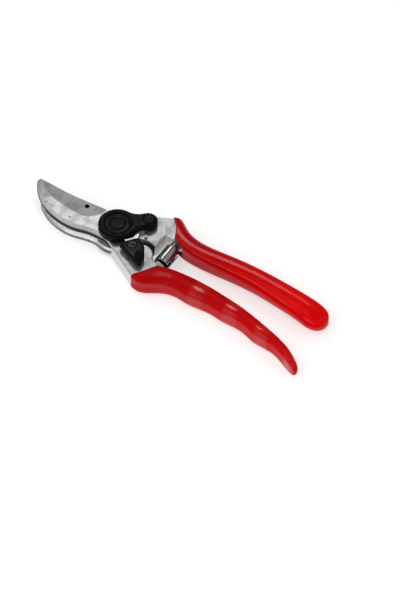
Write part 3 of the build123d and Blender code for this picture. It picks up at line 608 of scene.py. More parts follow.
@dataclass(frozen=True)
class BladeSteel:
    """Ground blade: a grey hollow along the spine, a bright flat and a fine bevel at the edge."""

    name: str = "ground_blade_steel"
    hollow: Colour = (0.29, 0.29, 0.28)
    flat: Colour = (0.43, 0.43, 0.42)
    bevel: Colour = (0.56, 0.56, 0.55)
    # edge is painted shadow: a dark band at the foot of the bevel for the gap where the blade meets the hook
    edge: Colour = (0.055, 0.055, 0.052)
    # bore is painted shade: a near-black colour in and around the hole
    bore: Colour = (0.008, 0.008, 0.008)
    top: float = 11.0
    step: float = 0.4
    edge_shadow_levels: Point = (9.3, 9.9)
    level_slopes: Point = (0.80, 0.97)
    tip: Point = (-64.0, -42.0)
    tip_shade: float = 0.53
    hole: Point = (-26.9, 6.1)
    hole_radius: float = 1.3
    bore_shade_rim: Point = (0.05, 0.45)
    rough_hollow: float = 0.44
    rough_flat: float = 0.36
    marked: float = 0.10
    lines: float = 2600.0
    line_length: float = 30.0
    line_angle: float = 8.0
    line_tones: Point = (0.92, 1.05)
    line_depth: float = 0.006
    grain: float = 1800.0
    grain_depth: float = 0.004
    marks: float = 160.0

    def material(self) -> bpy.types.Material:
        """Build the material: the zones follow the height and the slope of the surface, with a painted shadow
        at the foot of the bevel and painted shade round the hole.
        """
        paint = Paint(self.name)
        wires = paint.wires
        x, y, z = wires.axes(paint.place)
        turned = paint.turned(self.line_angle)
        lines = paint.effect(Effect.LINES, place=turned, Scale=self.lines, Stretch=self.line_length)
        grain = paint.effect(Effect.GRAIN, Scale=self.grain)
        marks = paint.effect(Effect.MARKS, Scale=self.marks)
        raised_flat = wires.span(z, (self.top - 0.75 * self.step) * MM, (self.top - 0.25 * self.step) * MM)
        toward_tip = wires.span(x, self.tip[0] * MM, self.tip[1] * MM, self.tip_shade, 1.0)
        zones = wires.blend(raised_flat, self.hollow, wires.dimmed(self.flat, toward_tip))
        # painted shadow: the lower band of the bevel turns dark
        ground = wires.span(z, self.edge_shadow_levels[0] * MM, self.edge_shadow_levels[1] * MM)
        slopes = wires.blend(ground, self.edge, self.bevel)
        shade = wires.blend(wires.span(wires.upward(), *self.level_slopes), slopes, zones)
        # painted shade: the hole and a thin ring round it go near-black
        beside = [wires.maths("SUBTRACT", part, middle * MM) for part, middle in zip((x, y), self.hole)]
        across = wires.vector(*beside, 0.0)
        away = wires.add("ShaderNodeVectorMath", {0: across}, operation="LENGTH").outputs["Value"]
        rim = [(self.hole_radius + width) * MM for width in self.bore_shade_rim]
        shade = wires.blend(wires.span(away, *rim), self.bore, shade)
        shade = wires.dimmed(shade, wires.spread(lines["Tone"], *self.line_tones))
        even = wires.span(raised_flat, 0.0, 1.0, self.rough_hollow, self.rough_flat)
        paint.set(Base_Color=shade, Roughness=wires.more(even, self.marked, marks["Marks"]), Metallic=1.0)
        ridges = paint.bump(lines["Height"], self.line_depth)
        paint.set(Normal=paint.bump(grain["Height"], self.grain_depth, ridges))
        return paint.material


@dataclass(frozen=True)
class HookSteel:
    """Hook steel with bright ground faces and upright sides painted darker as painted shade."""

    name: str = "forged_hook_steel"
    face: Colour = (0.56, 0.56, 0.55)
    face_share: float = 0.82
    # side is painted shade: the darker colour given to the upright sides
    side: Colour = (0.14, 0.14, 0.135)
    side_share: float = 1.5
    side_shade_slopes: Point = (0.35, 0.75)
    roughness: float = 0.34
    marked: float = 0.12
    lines: float = 2200.0
    line_length: float = 20.0
    line_angle: float = 70.0
    line_depth: float = 0.006
    grain: float = 1500.0
    grain_depth: float = 0.008

    def material(self) -> bpy.types.Material:
        """Build the material: the darker side colour, painted shade, takes over where the surface stands
        upright.
        """
        paint = Paint(self.name)
        wires = paint.wires
        turned = paint.turned(self.line_angle)
        lines = paint.effect(Effect.LINES, place=turned, Scale=self.lines, Stretch=self.line_length)
        grain = paint.effect(Effect.GRAIN, Scale=self.grain)
        # painted shade: upright faces take the darker side colour
        level = wires.span(wires.maths("ABSOLUTE", wires.upward()), *self.side_shade_slopes)
        pale_side = tuple(self.side_share * part for part in self.side)
        dull_face = tuple(self.face_share * part for part in self.face)
        side = wires.blend(wires.spread(grain["Tone"]), self.side, pale_side)
        ground = wires.blend(wires.spread(lines["Tone"]), dull_face, self.face)
        rough = wires.more(self.roughness, self.marked, lines["Tone"])
        fine = paint.bump(lines["Height"], self.line_depth)
        paint.set(Base_Color=wires.blend(level, side, ground), Roughness=rough, Metallic=1.0)
        paint.set(Normal=paint.bump(grain["Height"], self.grain_depth, fine))
        return paint.material


@dataclass(frozen=True)
class TurnedMetal:
    """Plain turned, plated or blackened metal of the small hardware."""

    name: str
    low: Colour
    high: Colour
    roughness: float = 0.3
    marked: float = 0.15
    grain: float = 2400.0
    lines: float = 2000.0
    line_length: float = 12.0
    line_angle: float = 41.3
    depth: float = 0.004
    marks: float = 300.0

    def material(self) -> bpy.types.Material:
        """Build the material."""
        paint = Paint(self.name)
        wires = paint.wires
        grain = paint.effect(Effect.GRAIN, Scale=self.grain)
        turned = paint.turned(self.line_angle)
        lines = paint.effect(Effect.LINES, place=turned, Scale=self.lines, Stretch=self.line_length)
        marks = paint.effect(Effect.MARKS, Scale=self.marks)
        shade = wires.blend(wires.spread(grain["Tone"]), self.low, self.high)
        rough = wires.more(self.roughness, self.marked, marks["Marks"])
        fine = paint.bump(grain["Height"], self.depth)
        paint.set(Base_Color=shade, Roughness=rough, Metallic=1.0)
        paint.set(Normal=paint.bump(lines["Height"], self.depth, fine))
        return paint.material


@dataclass(frozen=True)
class Moulding:
    """Black moulded plastic or rubber with a fine spark-eroded skin and a little rubbed gloss."""

    name: str
    low: Colour
    high: Colour
    roughness: float
    rubbed: float = 0.12
    gloss: float = 0.06
    index: float = 1.48
    skin: float = 2200.0
    depth: float = 0.012
    marks: float = 150.0

    def material(self) -> bpy.types.Material:
        """Build the material."""
        paint = Paint(self.name)
        wires = paint.wires
        skin = paint.effect(Effect.GRAIN, Scale=self.skin)
        marks = paint.effect(Effect.MARKS, Scale=self.marks)
        shade = wires.blend(wires.spread(skin["Tone"]), self.low, self.high)
        rough = wires.more(self.roughness, -self.rubbed, marks["Marks"])
        paint.set(Base_Color=shade, Roughness=rough, Normal=paint.bump(skin["Height"], self.depth))
        paint.set(IOR=self.index, Specular_IOR_Level=self.gloss)
        return paint.material


@dataclass(frozen=True)
class SpringStrip:
    """Bright rolled spring strip with lines along its length."""

    name: str = "bright_spring_strip"
    low: Colour = (0.17, 0.17, 0.162)
    high: Colour = (0.33, 0.33, 0.317)
    roughness: float = 0.16
    marked: float = 0.16
    lines: float = 2500.0
    squeeze: float = 0.05
    depth: float = 0.004
    marks: float = 260.0

    def material(self) -> bpy.types.Material:
        """Build the material: the rolling lines lie around the spring's axis, which is along Y."""
        paint = Paint(self.name)
        wires = paint.wires
        x, y, z = wires.axes(paint.place)
        around = [wires.maths("MULTIPLY", part, self.squeeze) for part in (x, z)]
        lines = paint.effect(Effect.GRAIN, place=wires.vector(around[0], y, around[1]), Scale=self.lines)
        marks = paint.effect(Effect.MARKS, Scale=self.marks)
        shade = wires.blend(wires.spread(lines["Height"]), self.low, self.high)
        rough = wires.more(self.roughness, self.marked, marks["Marks"])
        paint.set(Base_Color=shade, Roughness=rough, Metallic=1.0)
        paint.set(Normal=paint.bump(lines["Height"], self.depth))
        return paint.material


@dataclass
class Grip:
    """Dipped coat of one handle: an oval section carried along the handle, with a rolled lip at its start."""

    node: str
    body: Body
    finish: Vinyl
    start: float
    stations: Sequence[Tuple[float, float, float, float]]
    lean: Point = (0.0, 0.0)
    hold: float = 0.0
    crest: float = 66.5
    pitch: float = 25.3
    ripple: float = 0.0
    seat_side: int = 1
    seat_floor: float = 14.0
    roundness: float = 2.6
    start_roundness: float = 5.0
    rounding: Point = (-8.0, 16.0)
    least: float = 0.02
    coat: float = 2.0
    lip: float = 0.5
    lip_rows: int = 7
    tuck: float = 3.0
    spring_x: float = 36.4
    spring_room: float = 6.1
    room_edge: float = 0.25
    rows: int = 300
    columns: int = 112
    path_points: int = 900
    start_rounds: int = 60
    path: np.ndarray = field(init=False, repr=False)

    def __post_init__(self) -> None:
        """Carry a smooth line through the stations."""
        self.path = smooth_path(np.array(self.stations), self.path_points)

    def section(self, along: np.ndarray, inset: np.ndarray) -> Tuple[np.ndarray, np.ndarray]:
        """Points of the section at given places along the handle.

        The section is the superellipse |y/a|^e + |z/b|^e = 1 about the handle's middle line, squarer at
        the head. Its crest leans sideways by a share of a that changes evenly along the handle and grows
        with the square of the height; the points at a held share of that stay where they are.

        Args:
            along: x of each point, one column for each direction of the section.
            inset: how far each point is drawn inside the coat.

        Returns:
            y and z of each point.
        """
        turn = all_round(self.columns)
        away = soft_step(along, self.start + self.rounding[0], self.start + self.rounding[1])
        power = 2.0 / (self.start_roundness + (self.roundness - self.start_roundness) * away)
        across = signed_power(np.cos(turn), power)
        upward = signed_power(np.sin(turn), power)
        path = self.path
        low = np.interp(along, path[:, 0], path[:, 1])
        high = np.interp(along, path[:, 0], path[:, 2])
        thick = np.interp(along, path[:, 0], path[:, 3])
        wave = self.ripple * np.cos(FULL_TURN * (along - self.crest) / self.pitch)
        wave = wave * soft_step(along, self.crest - self.pitch, self.crest)
        wave = wave * np.clip(thick / GRIP_THICK, 0.0, 1.0)
        half = np.maximum((high - low) / 2.0 - inset, self.least)
        deep = np.maximum((thick - self.ripple + wave) / 2.0 - inset, self.least)
        tilt = np.interp(along, (self.start, path[-1, 0]), self.lean)
        side = (low + high) / 2.0 + half * (across + tilt * (upward ** 2 - self.hold))
        return side, MIDDLE + deep * upward

    def build(self) -> None:
        """Build and dress the coat from its lip on the head to its closed end.

        The lip lies on a circle about the pivot: x = sqrt(s^2 - y^2) for the start s, found by repeating
        it with the y that the section then has.
        """
        begin = np.full(self.columns, self.start)
        for _ in range(self.start_rounds):
            side = self.section(begin, np.zeros(self.columns))[0]
            begin = np.sqrt(np.maximum(self.start ** 2 - side ** 2, 1.0))
        roll = np.linspace(0.0, math.pi / 2.0, self.lip_rows)
        tucked = (self.coat, self.coat, (self.coat + self.lip) / 2.0)
        inset = np.concatenate((tucked, self.lip * (1.0 - np.sin(roll))))
        ahead = np.concatenate(((self.tuck, 0.0, 0.0), self.lip * (1.0 - np.cos(roll))))
        share = np.sin(np.linspace(0.0, math.pi / 2.0, self.rows))[1:]
        body_start = begin + self.lip
        body = body_start + (self.path[-1, 0] - body_start) * share[:, None]
        along = np.concatenate((begin + ahead[:, None], body))
        drawn = np.concatenate((inset, np.zeros(len(share))))[:, None]
        side, level = self.section(along, drawn)
        reach = np.hypot(along - self.spring_x, level - MIDDLE)
        inside = 1.0 - soft_step(reach, self.spring_room - self.room_edge, self.spring_room + self.room_edge)
        room = np.maximum(self.seat_side * (self.seat_floor - side), 0.0)
        facing = self.seat_side * (np.mean(side, axis=1, keepdims=True) - side) > 0.0
        side = side + self.seat_side * room * inside * facing
        piece = grid_object(self.node + "_coat", np.stack((along, side, level), axis=-1), False, True)
        settle(piece, self.body, self.finish.material(), "red_vinyl", self.node)


@dataclass
class PivotCover:
    """Black cover: a dished round cap over the pivot nut and an arm over the lock segment."""

    radius: float = 12.2
    reach: float = 20.0
    angle: float = 41.3
    arm_radius: float = 5.6
    blend: float = 14.0
    top: float = 18.2
    ceiling: float = 16.8
    wall: float = 1.3
    round: float = 2.0
    lift: float = 0.3
    dish_ring: Tuple[float, float] = (9.6, 7.4)
    dish_depth: float = 0.75
    hub: Tuple[float, float] = (5.4, 4.2)
    hub_rise: float = 0.4
    boss: Tuple[float, float] = (4.3, 3.3)
    boss_rise: float = 0.3
    relief: Tuple[float, float] = (2.0, 24.0)
    relief_level: float = 15.4
    relief_edge: float = 1.2
    crease: float = 50.0
    columns: int = 288
    rows: int = 46
    wall_rows: int = 4
    roof_shares: Sequence[float] = (0.8, 0.625, 0.45, 0.275, 0.1)
    finish: Moulding = Moulding("satin_black_cover", (0.002, 0.002, 0.002), (0.005, 0.005, 0.0048), 0.34)

    def outline(self, turn: np.ndarray) -> np.ndarray:
        """Reach of the outline in each direction from the pivot.

        A ray leaves the arm, a slot about its axis, through the side at w/|sin d| or through the round
        end at L cos d + sqrt(w^2 - L^2 sin^2 d). Beyond the arm it leaves the round cap. Between them a
        round of radius k touches both: its centre c lies k outside the slot's side and the cap, and the
        ray meets it at d.c - sqrt((d.c)^2 - |c|^2 + k^2).

        Args:
            turn: directions in radians.

        Returns:
            Distance from the pivot to the outline in mm.
        """
        off = np.abs(np.angle(np.exp(1j * (turn - math.radians(self.angle)))))
        sine = np.maximum(np.sin(off), 1e-6)
        under = np.maximum(self.arm_radius ** 2 - (self.reach * sine) ** 2, 0.0)
        end = self.reach * np.cos(off) + np.sqrt(under)
        leaves_side = self.arm_radius * np.cos(off) / sine < self.reach
        arm = np.where(leaves_side, self.arm_radius / sine, end)
        across = self.arm_radius + self.blend
        along = math.sqrt((self.radius + self.blend) ** 2 - across ** 2)
        toward = along * np.cos(off) + across * np.sin(off)
        under = np.maximum(toward ** 2 - along ** 2 - across ** 2 + self.blend ** 2, 0.0)
        joint = toward - np.sqrt(under)
        beyond = np.where(off < math.atan2(across, along), joint, self.radius)
        return np.where(off < math.atan2(self.arm_radius, along), arm, beyond)

    def crown(self, place: np.ndarray, rim: np.ndarray) -> np.ndarray:
        """Height of the top: a round rim, a dished ring with a hub about the pivot, and a boss on the arm.

        Args:
            place: x and y of each point.
            rim: points of the outline.

        Returns:
            z of each point.
        """
        level = rounded_top(place, rim, self.top, self.round)
        far = np.hypot(place[..., 0], place[..., 1])
        level = level - self.dish_depth * (1.0 - soft_step(far, self.dish_ring[1], self.dish_ring[0]))
        level = level + self.hub_rise * (1.0 - soft_step(far, self.hub[1], self.hub[0]))
        tip = polar(np.array(self.reach), np.array(math.radians(self.angle)))
        from_tip = np.hypot(place[..., 0] - tip[0], place[..., 1] - tip[1])
        return level + self.boss_rise * (1.0 - soft_step(from_tip, self.boss[1], self.boss[0]))

    def build(self) -> None:
        """Build and dress the cover as one shell, from the middle of its top to the middle of its ceiling."""
        turn = all_round(self.columns)
        rim = polar(self.outline(turn), turn)
        ahead = np.roll(rim, -1, axis=0) - np.roll(rim, 1, axis=0)
        ahead = ahead / np.linalg.norm(ahead, axis=1, keepdims=True)
        outward = np.stack((ahead[:, 1], -ahead[:, 0]), axis=-1)
        inner = rim - self.wall * outward
        share = np.sin(np.linspace(0.02, math.pi / 2.0, self.rows))[:, None, None]
        flat = share * rim[None]
        degrees = np.degrees(turn)
        opened = soft_step(degrees, self.relief[0] - self.relief_edge, self.relief[0])
        notch = opened * (1.0 - soft_step(degrees, self.relief[1], self.relief[1] + self.relief_edge))
        foot = FRONT + self.lift + notch * (self.relief_level - FRONT - self.lift)
        drop = np.linspace(1.0 / self.wall_rows, 1.0, self.wall_rows)[:, None]
        rise = np.linspace(0.0, 1.0, self.wall_rows)[:, None]
        shrunk = np.array(self.roof_shares)[:, None, None] * inner[None]
        top = raised(flat, self.crown(flat, rim))
        outside = raised(rim, (self.top - self.round) * (1.0 - drop) + foot[None] * drop)
        inside = raised(inner, foot[None] * (1.0 - rise) + self.ceiling * rise)
        shell = np.concatenate((top, outside, inside, raised(shrunk, self.ceiling)))
        piece = grid_object("pivot_cover_cap", shell, False, True)
        piece.data.set_sharp_from_angle(angle=math.radians(self.crease))
        settle(piece, Body.HOOK, self.finish.material(), "cover_plastic", "pivot_cover")


@dataclass
class ThumbLever:
    """Black lever of the catch, with a bore for its screw and a ribbed pad for the thumb."""

    pivot: Point = (17.2, -9.3)
    corners: Sequence[Point] = (
        (10.4, -13.4), (11.9, -9.2), (13.95, -6.8), (16.6, -2.7), (19.6, -3.0),
        (23.9, -5.6), (29.0, -13.4), (29.8, -19.6), (26.4, -19.8), (17.2, -16.1),
    )
    least: float = 4.0
    bore: float = 2.25
    counterbore: float = 3.2
    low: float = 15.0
    floor: float = 16.2
    top: float = 17.8
    round: float = 1.3
    pad: Point = (25.8, -14.9)
    pad_angle: float = -66.0
    pad_half: Tuple[float, float] = (4.2, 2.4)
    pad_edge: Point = (0.62, 1.12)
    pad_rise: float = 0.85
    rib_pitch: float = 1.5
    rib_depth: float = 0.22
    bore_edge: float = 0.2
    smoothing: float = 2.6
    crease: float = 40.0
    columns: int = 300
    rows: int = 90
    finish: Moulding = Moulding("satin_black_lever", (0.0015, 0.0015, 0.0015), (0.004, 0.004, 0.0038), 0.32)

    def outline(self, turn: np.ndarray) -> np.ndarray:
        """Reach of the lever from its screw in each direction.

        The reach is the nearest crossing of the ray with an edge of the corner polygon, never less
        than the boss around the screw, smoothed over a few degrees to round the corners.

        Args:
            turn: directions in radians.

        Returns:
            Distance from the screw's axis in mm.
        """
        start = np.array(self.corners) - np.array(self.pivot)
        edge = np.roll(start, -1, axis=0) - start
        ray = np.stack((np.cos(turn), np.sin(turn)), axis=-1)
        cross = ray[:, None, 0] * edge[None, :, 1] - ray[:, None, 1] * edge[None, :, 0]
        cross = np.where(np.abs(cross) < 1e-9, 1e-9, cross)
        reach = (start[:, 0] * edge[:, 1] - start[:, 1] * edge[:, 0])[None] / cross
        share = (start[None, :, 0] * ray[:, None, 1] - start[None, :, 1] * ray[:, None, 0]) / cross
        met = (reach > 0.0) & (share >= -1e-6) & (share <= 1.0 + 1e-6)
        plain = np.maximum(np.where(met, reach, 1e3).min(axis=1), self.least)
        place = np.fft.fftfreq(self.columns, 1.0 / self.columns)
        kept = np.exp(-0.5 * (place * math.radians(self.smoothing)) ** 2)
        return np.fft.ifft(np.fft.fft(plain) * kept).real

    def crown(self, place: np.ndarray, rim: np.ndarray) -> np.ndarray:
        """Height of the top: a round rim, and an oval pad with cross ribs.

        Args:
            place: x and y of each point.
            rim: points of the outline.

        Returns:
            z of each point.
        """
        level = rounded_top(place, rim, self.top, self.round)
        turn = math.radians(self.pad_angle)
        offset = place - np.array(self.pad)
        along = offset[..., 0] * math.cos(turn) + offset[..., 1] * math.sin(turn)
        across = offset[..., 1] * math.cos(turn) - offset[..., 0] * math.sin(turn)
        oval = np.sqrt((along / self.pad_half[0]) ** 2 + (across / self.pad_half[1]) ** 2)
        pad = 1.0 - soft_step(oval, *self.pad_edge)
        ribs = 0.5 + 0.5 * np.cos(FULL_TURN * along / self.rib_pitch)
        return level + pad * (self.pad_rise - self.rib_depth * ribs)

    def build(self) -> None:
        """Build and dress the lever as a closed ring about its screw: bore, top, rim, wall and underside."""
        turn = all_round(self.columns)
        reach = self.outline(turn)
        rim = polar(reach, turn, self.pivot)
        mouth = self.counterbore + self.bore_edge
        radii = np.array((self.bore, self.bore, self.counterbore, self.counterbore, mouth))[:, None]
        levels = np.array((self.low, self.floor, self.floor, self.top - self.bore_edge, self.top))[:, None]
        inner = raised(polar(radii * np.ones(self.columns), turn, self.pivot), levels)
        share = np.sin(np.linspace(0.0, math.pi / 2.0, self.rows))[1:, None]
        flat = polar(mouth + (reach[None] - mouth) * share, turn, self.pivot)
        top = raised(flat, self.crown(flat, rim))
        half = raised(rim, (self.low + self.top - self.round) / 2.0)
        ring = np.concatenate((inner, top, half[None], raised(rim, self.low)[None]))
        piece = grid_object("thumb_lever", ring, True, False)
        piece.data.set_sharp_from_angle(angle=math.radians(self.crease))
        settle(piece, Body.CATCH, self.finish.material(), "catch_plastic", "thumb_catch")


@dataclass
class Bumper:
    """Rubber crescent between the heads: a rounded bar bent around the blade handle's boss."""

    boss: Point = (23.2, -10.2)
    inner: float = 8.6
    thick: float = 2.8
    span: Tuple[float, float] = (54.0, 118.0)
    levels: Tuple[float, float] = (2.8, 12.2)
    squareness: float = 5.0
    taper: float = 0.5
    end_rise: float = 5.6
    end_share: float = 0.1
    end_drop: float = 0.1
    end_least: float = 0.0004
    columns: int = 56
    rows: int = 72
    finish: Moulding = Moulding("bumper_rubber", (0.006, 0.006, 0.006), (0.012, 0.012, 0.012), 0.62)

    def build(self) -> None:
        """Build and dress the bumper.

        A superellipse section is carried around the boss, thinner and less deep toward both ends, and
        over the last share of its length it closes as a quarter circle.
        """
        share = (1.0 - np.cos(np.linspace(0.0, math.pi, self.rows))) / 2.0
        angle = np.radians(self.span[0] + (self.span[1] - self.span[0]) * share)[:, None]
        middle = np.abs(2.0 * share - 1.0)[:, None]
        full = self.thick * (1.0 - self.taper * middle ** 2)
        past = ((middle - (1.0 - self.end_share)) / self.end_share).clip(0.0, 1.0)
        close = np.sqrt(np.maximum(1.0 - past ** 2, self.end_least))
        turn = all_round(self.columns)[None]
        outward = signed_power(np.cos(turn), 2.0 / self.squareness)
        upward = signed_power(np.sin(turn), 2.0 / self.squareness)
        center = self.inner + full / 2.0
        radius = center + full / 2.0 * close * outward
        foot = self.levels[0] + self.end_rise * middle ** 3
        depth = (self.levels[1] - foot) / 2.0 * (1.0 - self.end_drop + self.end_drop * close)
        flat = polar(radius, angle, self.boss)
        grid = raised(flat, (self.levels[1] + foot) / 2.0 + depth * upward)
        piece = grid_object("bumper_crescent", grid, False, True)
        settle(piece, Body.BLADE, self.finish.material(), "bumper_rubber", "rubber_bumper")


@dataclass
class VoluteSpring:
    """Return spring: one flat strip wound inward, each turn standing further out of the one around it."""

    x: float = 36.4
    low: float = -8.2
    high: float = 13.5
    radius: float = 5.6
    thick: float = 0.8
    width: float = 14.0
    gap: float = 0.5
    turns: float = 2.5
    squareness: float = 7.0
    edge_squareness: float = 3.0
    end_round: float = 1.0
    end_least: float = 0.02
    end_thick: float = 0.3
    end_drop: float = 0.1
    seat_depth: float = 1.5
    columns: int = 40
    rows: int = 360
    finish: SpringStrip = SpringStrip()

    def build(self) -> None:
        """Build the spring: a rounded strip section carried along the spiral r = R - p a / 2 pi.

        The strip stands along Y, and it rises as the spiral draws in, so that the innermost turn
        reaches the seat on the hook handle.
        """
        turn = np.linspace(0.0, FULL_TURN * self.turns, self.rows)[:, None]
        pitch = self.thick + self.gap
        radius = self.radius - self.thick / 2.0 - pitch * turn / FULL_TURN
        ends = np.minimum(turn, FULL_TURN * self.turns - turn) * radius
        close = np.sqrt(1.0 - (1.0 - np.clip(ends / self.end_round, self.end_least, 1.0)) ** 2)
        lap = all_round(self.columns)[None]
        outward = signed_power(np.cos(lap), 2.0 / self.edge_squareness)
        upward = signed_power(np.sin(lap), 2.0 / self.squareness)
        rise = (self.high - self.low - self.width) * turn / turn.max()
        reach = radius + self.thick / 2.0 * outward * (self.end_thick + (1.0 - self.end_thick) * close)
        tall = self.width / 2.0 * upward * (1.0 - self.end_drop + self.end_drop * close)
        along = self.low + rise + self.width / 2.0 + tall
        grid = np.stack((self.x + reach * np.cos(turn), along, MIDDLE - reach * np.sin(turn)), axis=-1)
        piece = grid_object("volute_strip", grid, False, True)
        piece.data.materials.append(self.finish.material())
        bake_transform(piece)
        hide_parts("return_spring")
        LOG.info("%s bends between the handles", piece.name)


@dataclass
class Steelwork:
    """Heads, hook, blade and catch plate: copies of the solids with a fine round on every hard edge."""

    head_round: float = 0.45
    hook_round: float = 0.30
    blade_round: float = 0.10
    plate_round: float = 0.25
    stamped: TurnedMetal = TurnedMetal("stamped_catch_steel", (0.42, 0.43, 0.42), (0.56, 0.57, 0.56), 0.34)

    def build(self) -> None:
        """Build and dress the main metal pieces."""
        alloy = ForgedAlloy().material()
        stamped = self.stamped.material()
        hook = HookSteel().material()
        blade = BladeSteel().material()
        plan = (
            ("hook_handle", "hook_head", Body.HOOK, self.head_round, alloy, "forged_alloy"),
            ("blade_handle", "blade_head", Body.BLADE, self.head_round, alloy, "forged_alloy"),
            ("counter_blade", "hook_beak", Body.HOOK, self.hook_round, hook, "hook_steel"),
            ("cutting_blade", "ground_blade", Body.BLADE, self.blade_round, blade, "blade_steel"),
            ("catch_plate", "stamped_plate", Body.CATCH, self.plate_round, stamped, "catch_steel"),
        )
        for node, name, body, width, material, slot in plan:
            settle(softened_copy(node, name, width), body, material, slot, node)


@dataclass
class Hardware:
    """Bolt, bush, nut, rivets and screws, which keep their solids and get their finishes."""

    plated: TurnedMetal = TurnedMetal("zinc_plated_steel", (0.42, 0.42, 0.43), (0.60, 0.60, 0.61), 0.28)
    plain: TurnedMetal = TurnedMetal("plain_rivet_steel", (0.34, 0.34, 0.34), (0.46, 0.46, 0.46), 0.38)
    bronze: TurnedMetal = TurnedMetal("turned_bronze", (0.50, 0.31, 0.12), (0.66, 0.44, 0.20), 0.26)
    black: TurnedMetal = TurnedMetal("blackened_steel", (0.018, 0.018, 0.019), (0.04, 0.04, 0.041), 0.34)

    def build(self) -> None:
        """Dress every small metal node."""
        plan = (
            (self.plated, ("pivot_bolt", "pivot_washer", "pivot_nut", "lock_segment", "segment_screw")),
            (self.plain, ("blade_rivets", "counter_blade_rivets", "strike_pin", "bumper_studs")),
            (self.bronze, ("pivot_bush",)),
            (self.black, ("catch_screw", "catch_washer")),
        )
        for finish, nodes in plan:
            material = finish.material()
            for node in nodes:
                dress(node, material)


@dataclass(frozen=True)
class Lamp:
    """Rectangular lamp that faces the shears: its angles in degrees, sizes in metres and power in watts."""

    name: str
    rise: float
    turn: float
    distance: float
    size: Point
    power: float

    def hang(self, azimuth: float) -> None:
        """Hang the lamp at its turn from the camera's azimuth."""
        data = bpy.data.lights.new(self.name, "AREA")
        data.shape = "RECTANGLE"
        data.size, data.size_y = self.size
        data.energy = self.power
        middle = (CAD_BOX[0] + CAD_BOX[1]) / 2.0
        face(link(self.name, data), middle, direction(azimuth + self.turn, self.rise), self.distance)


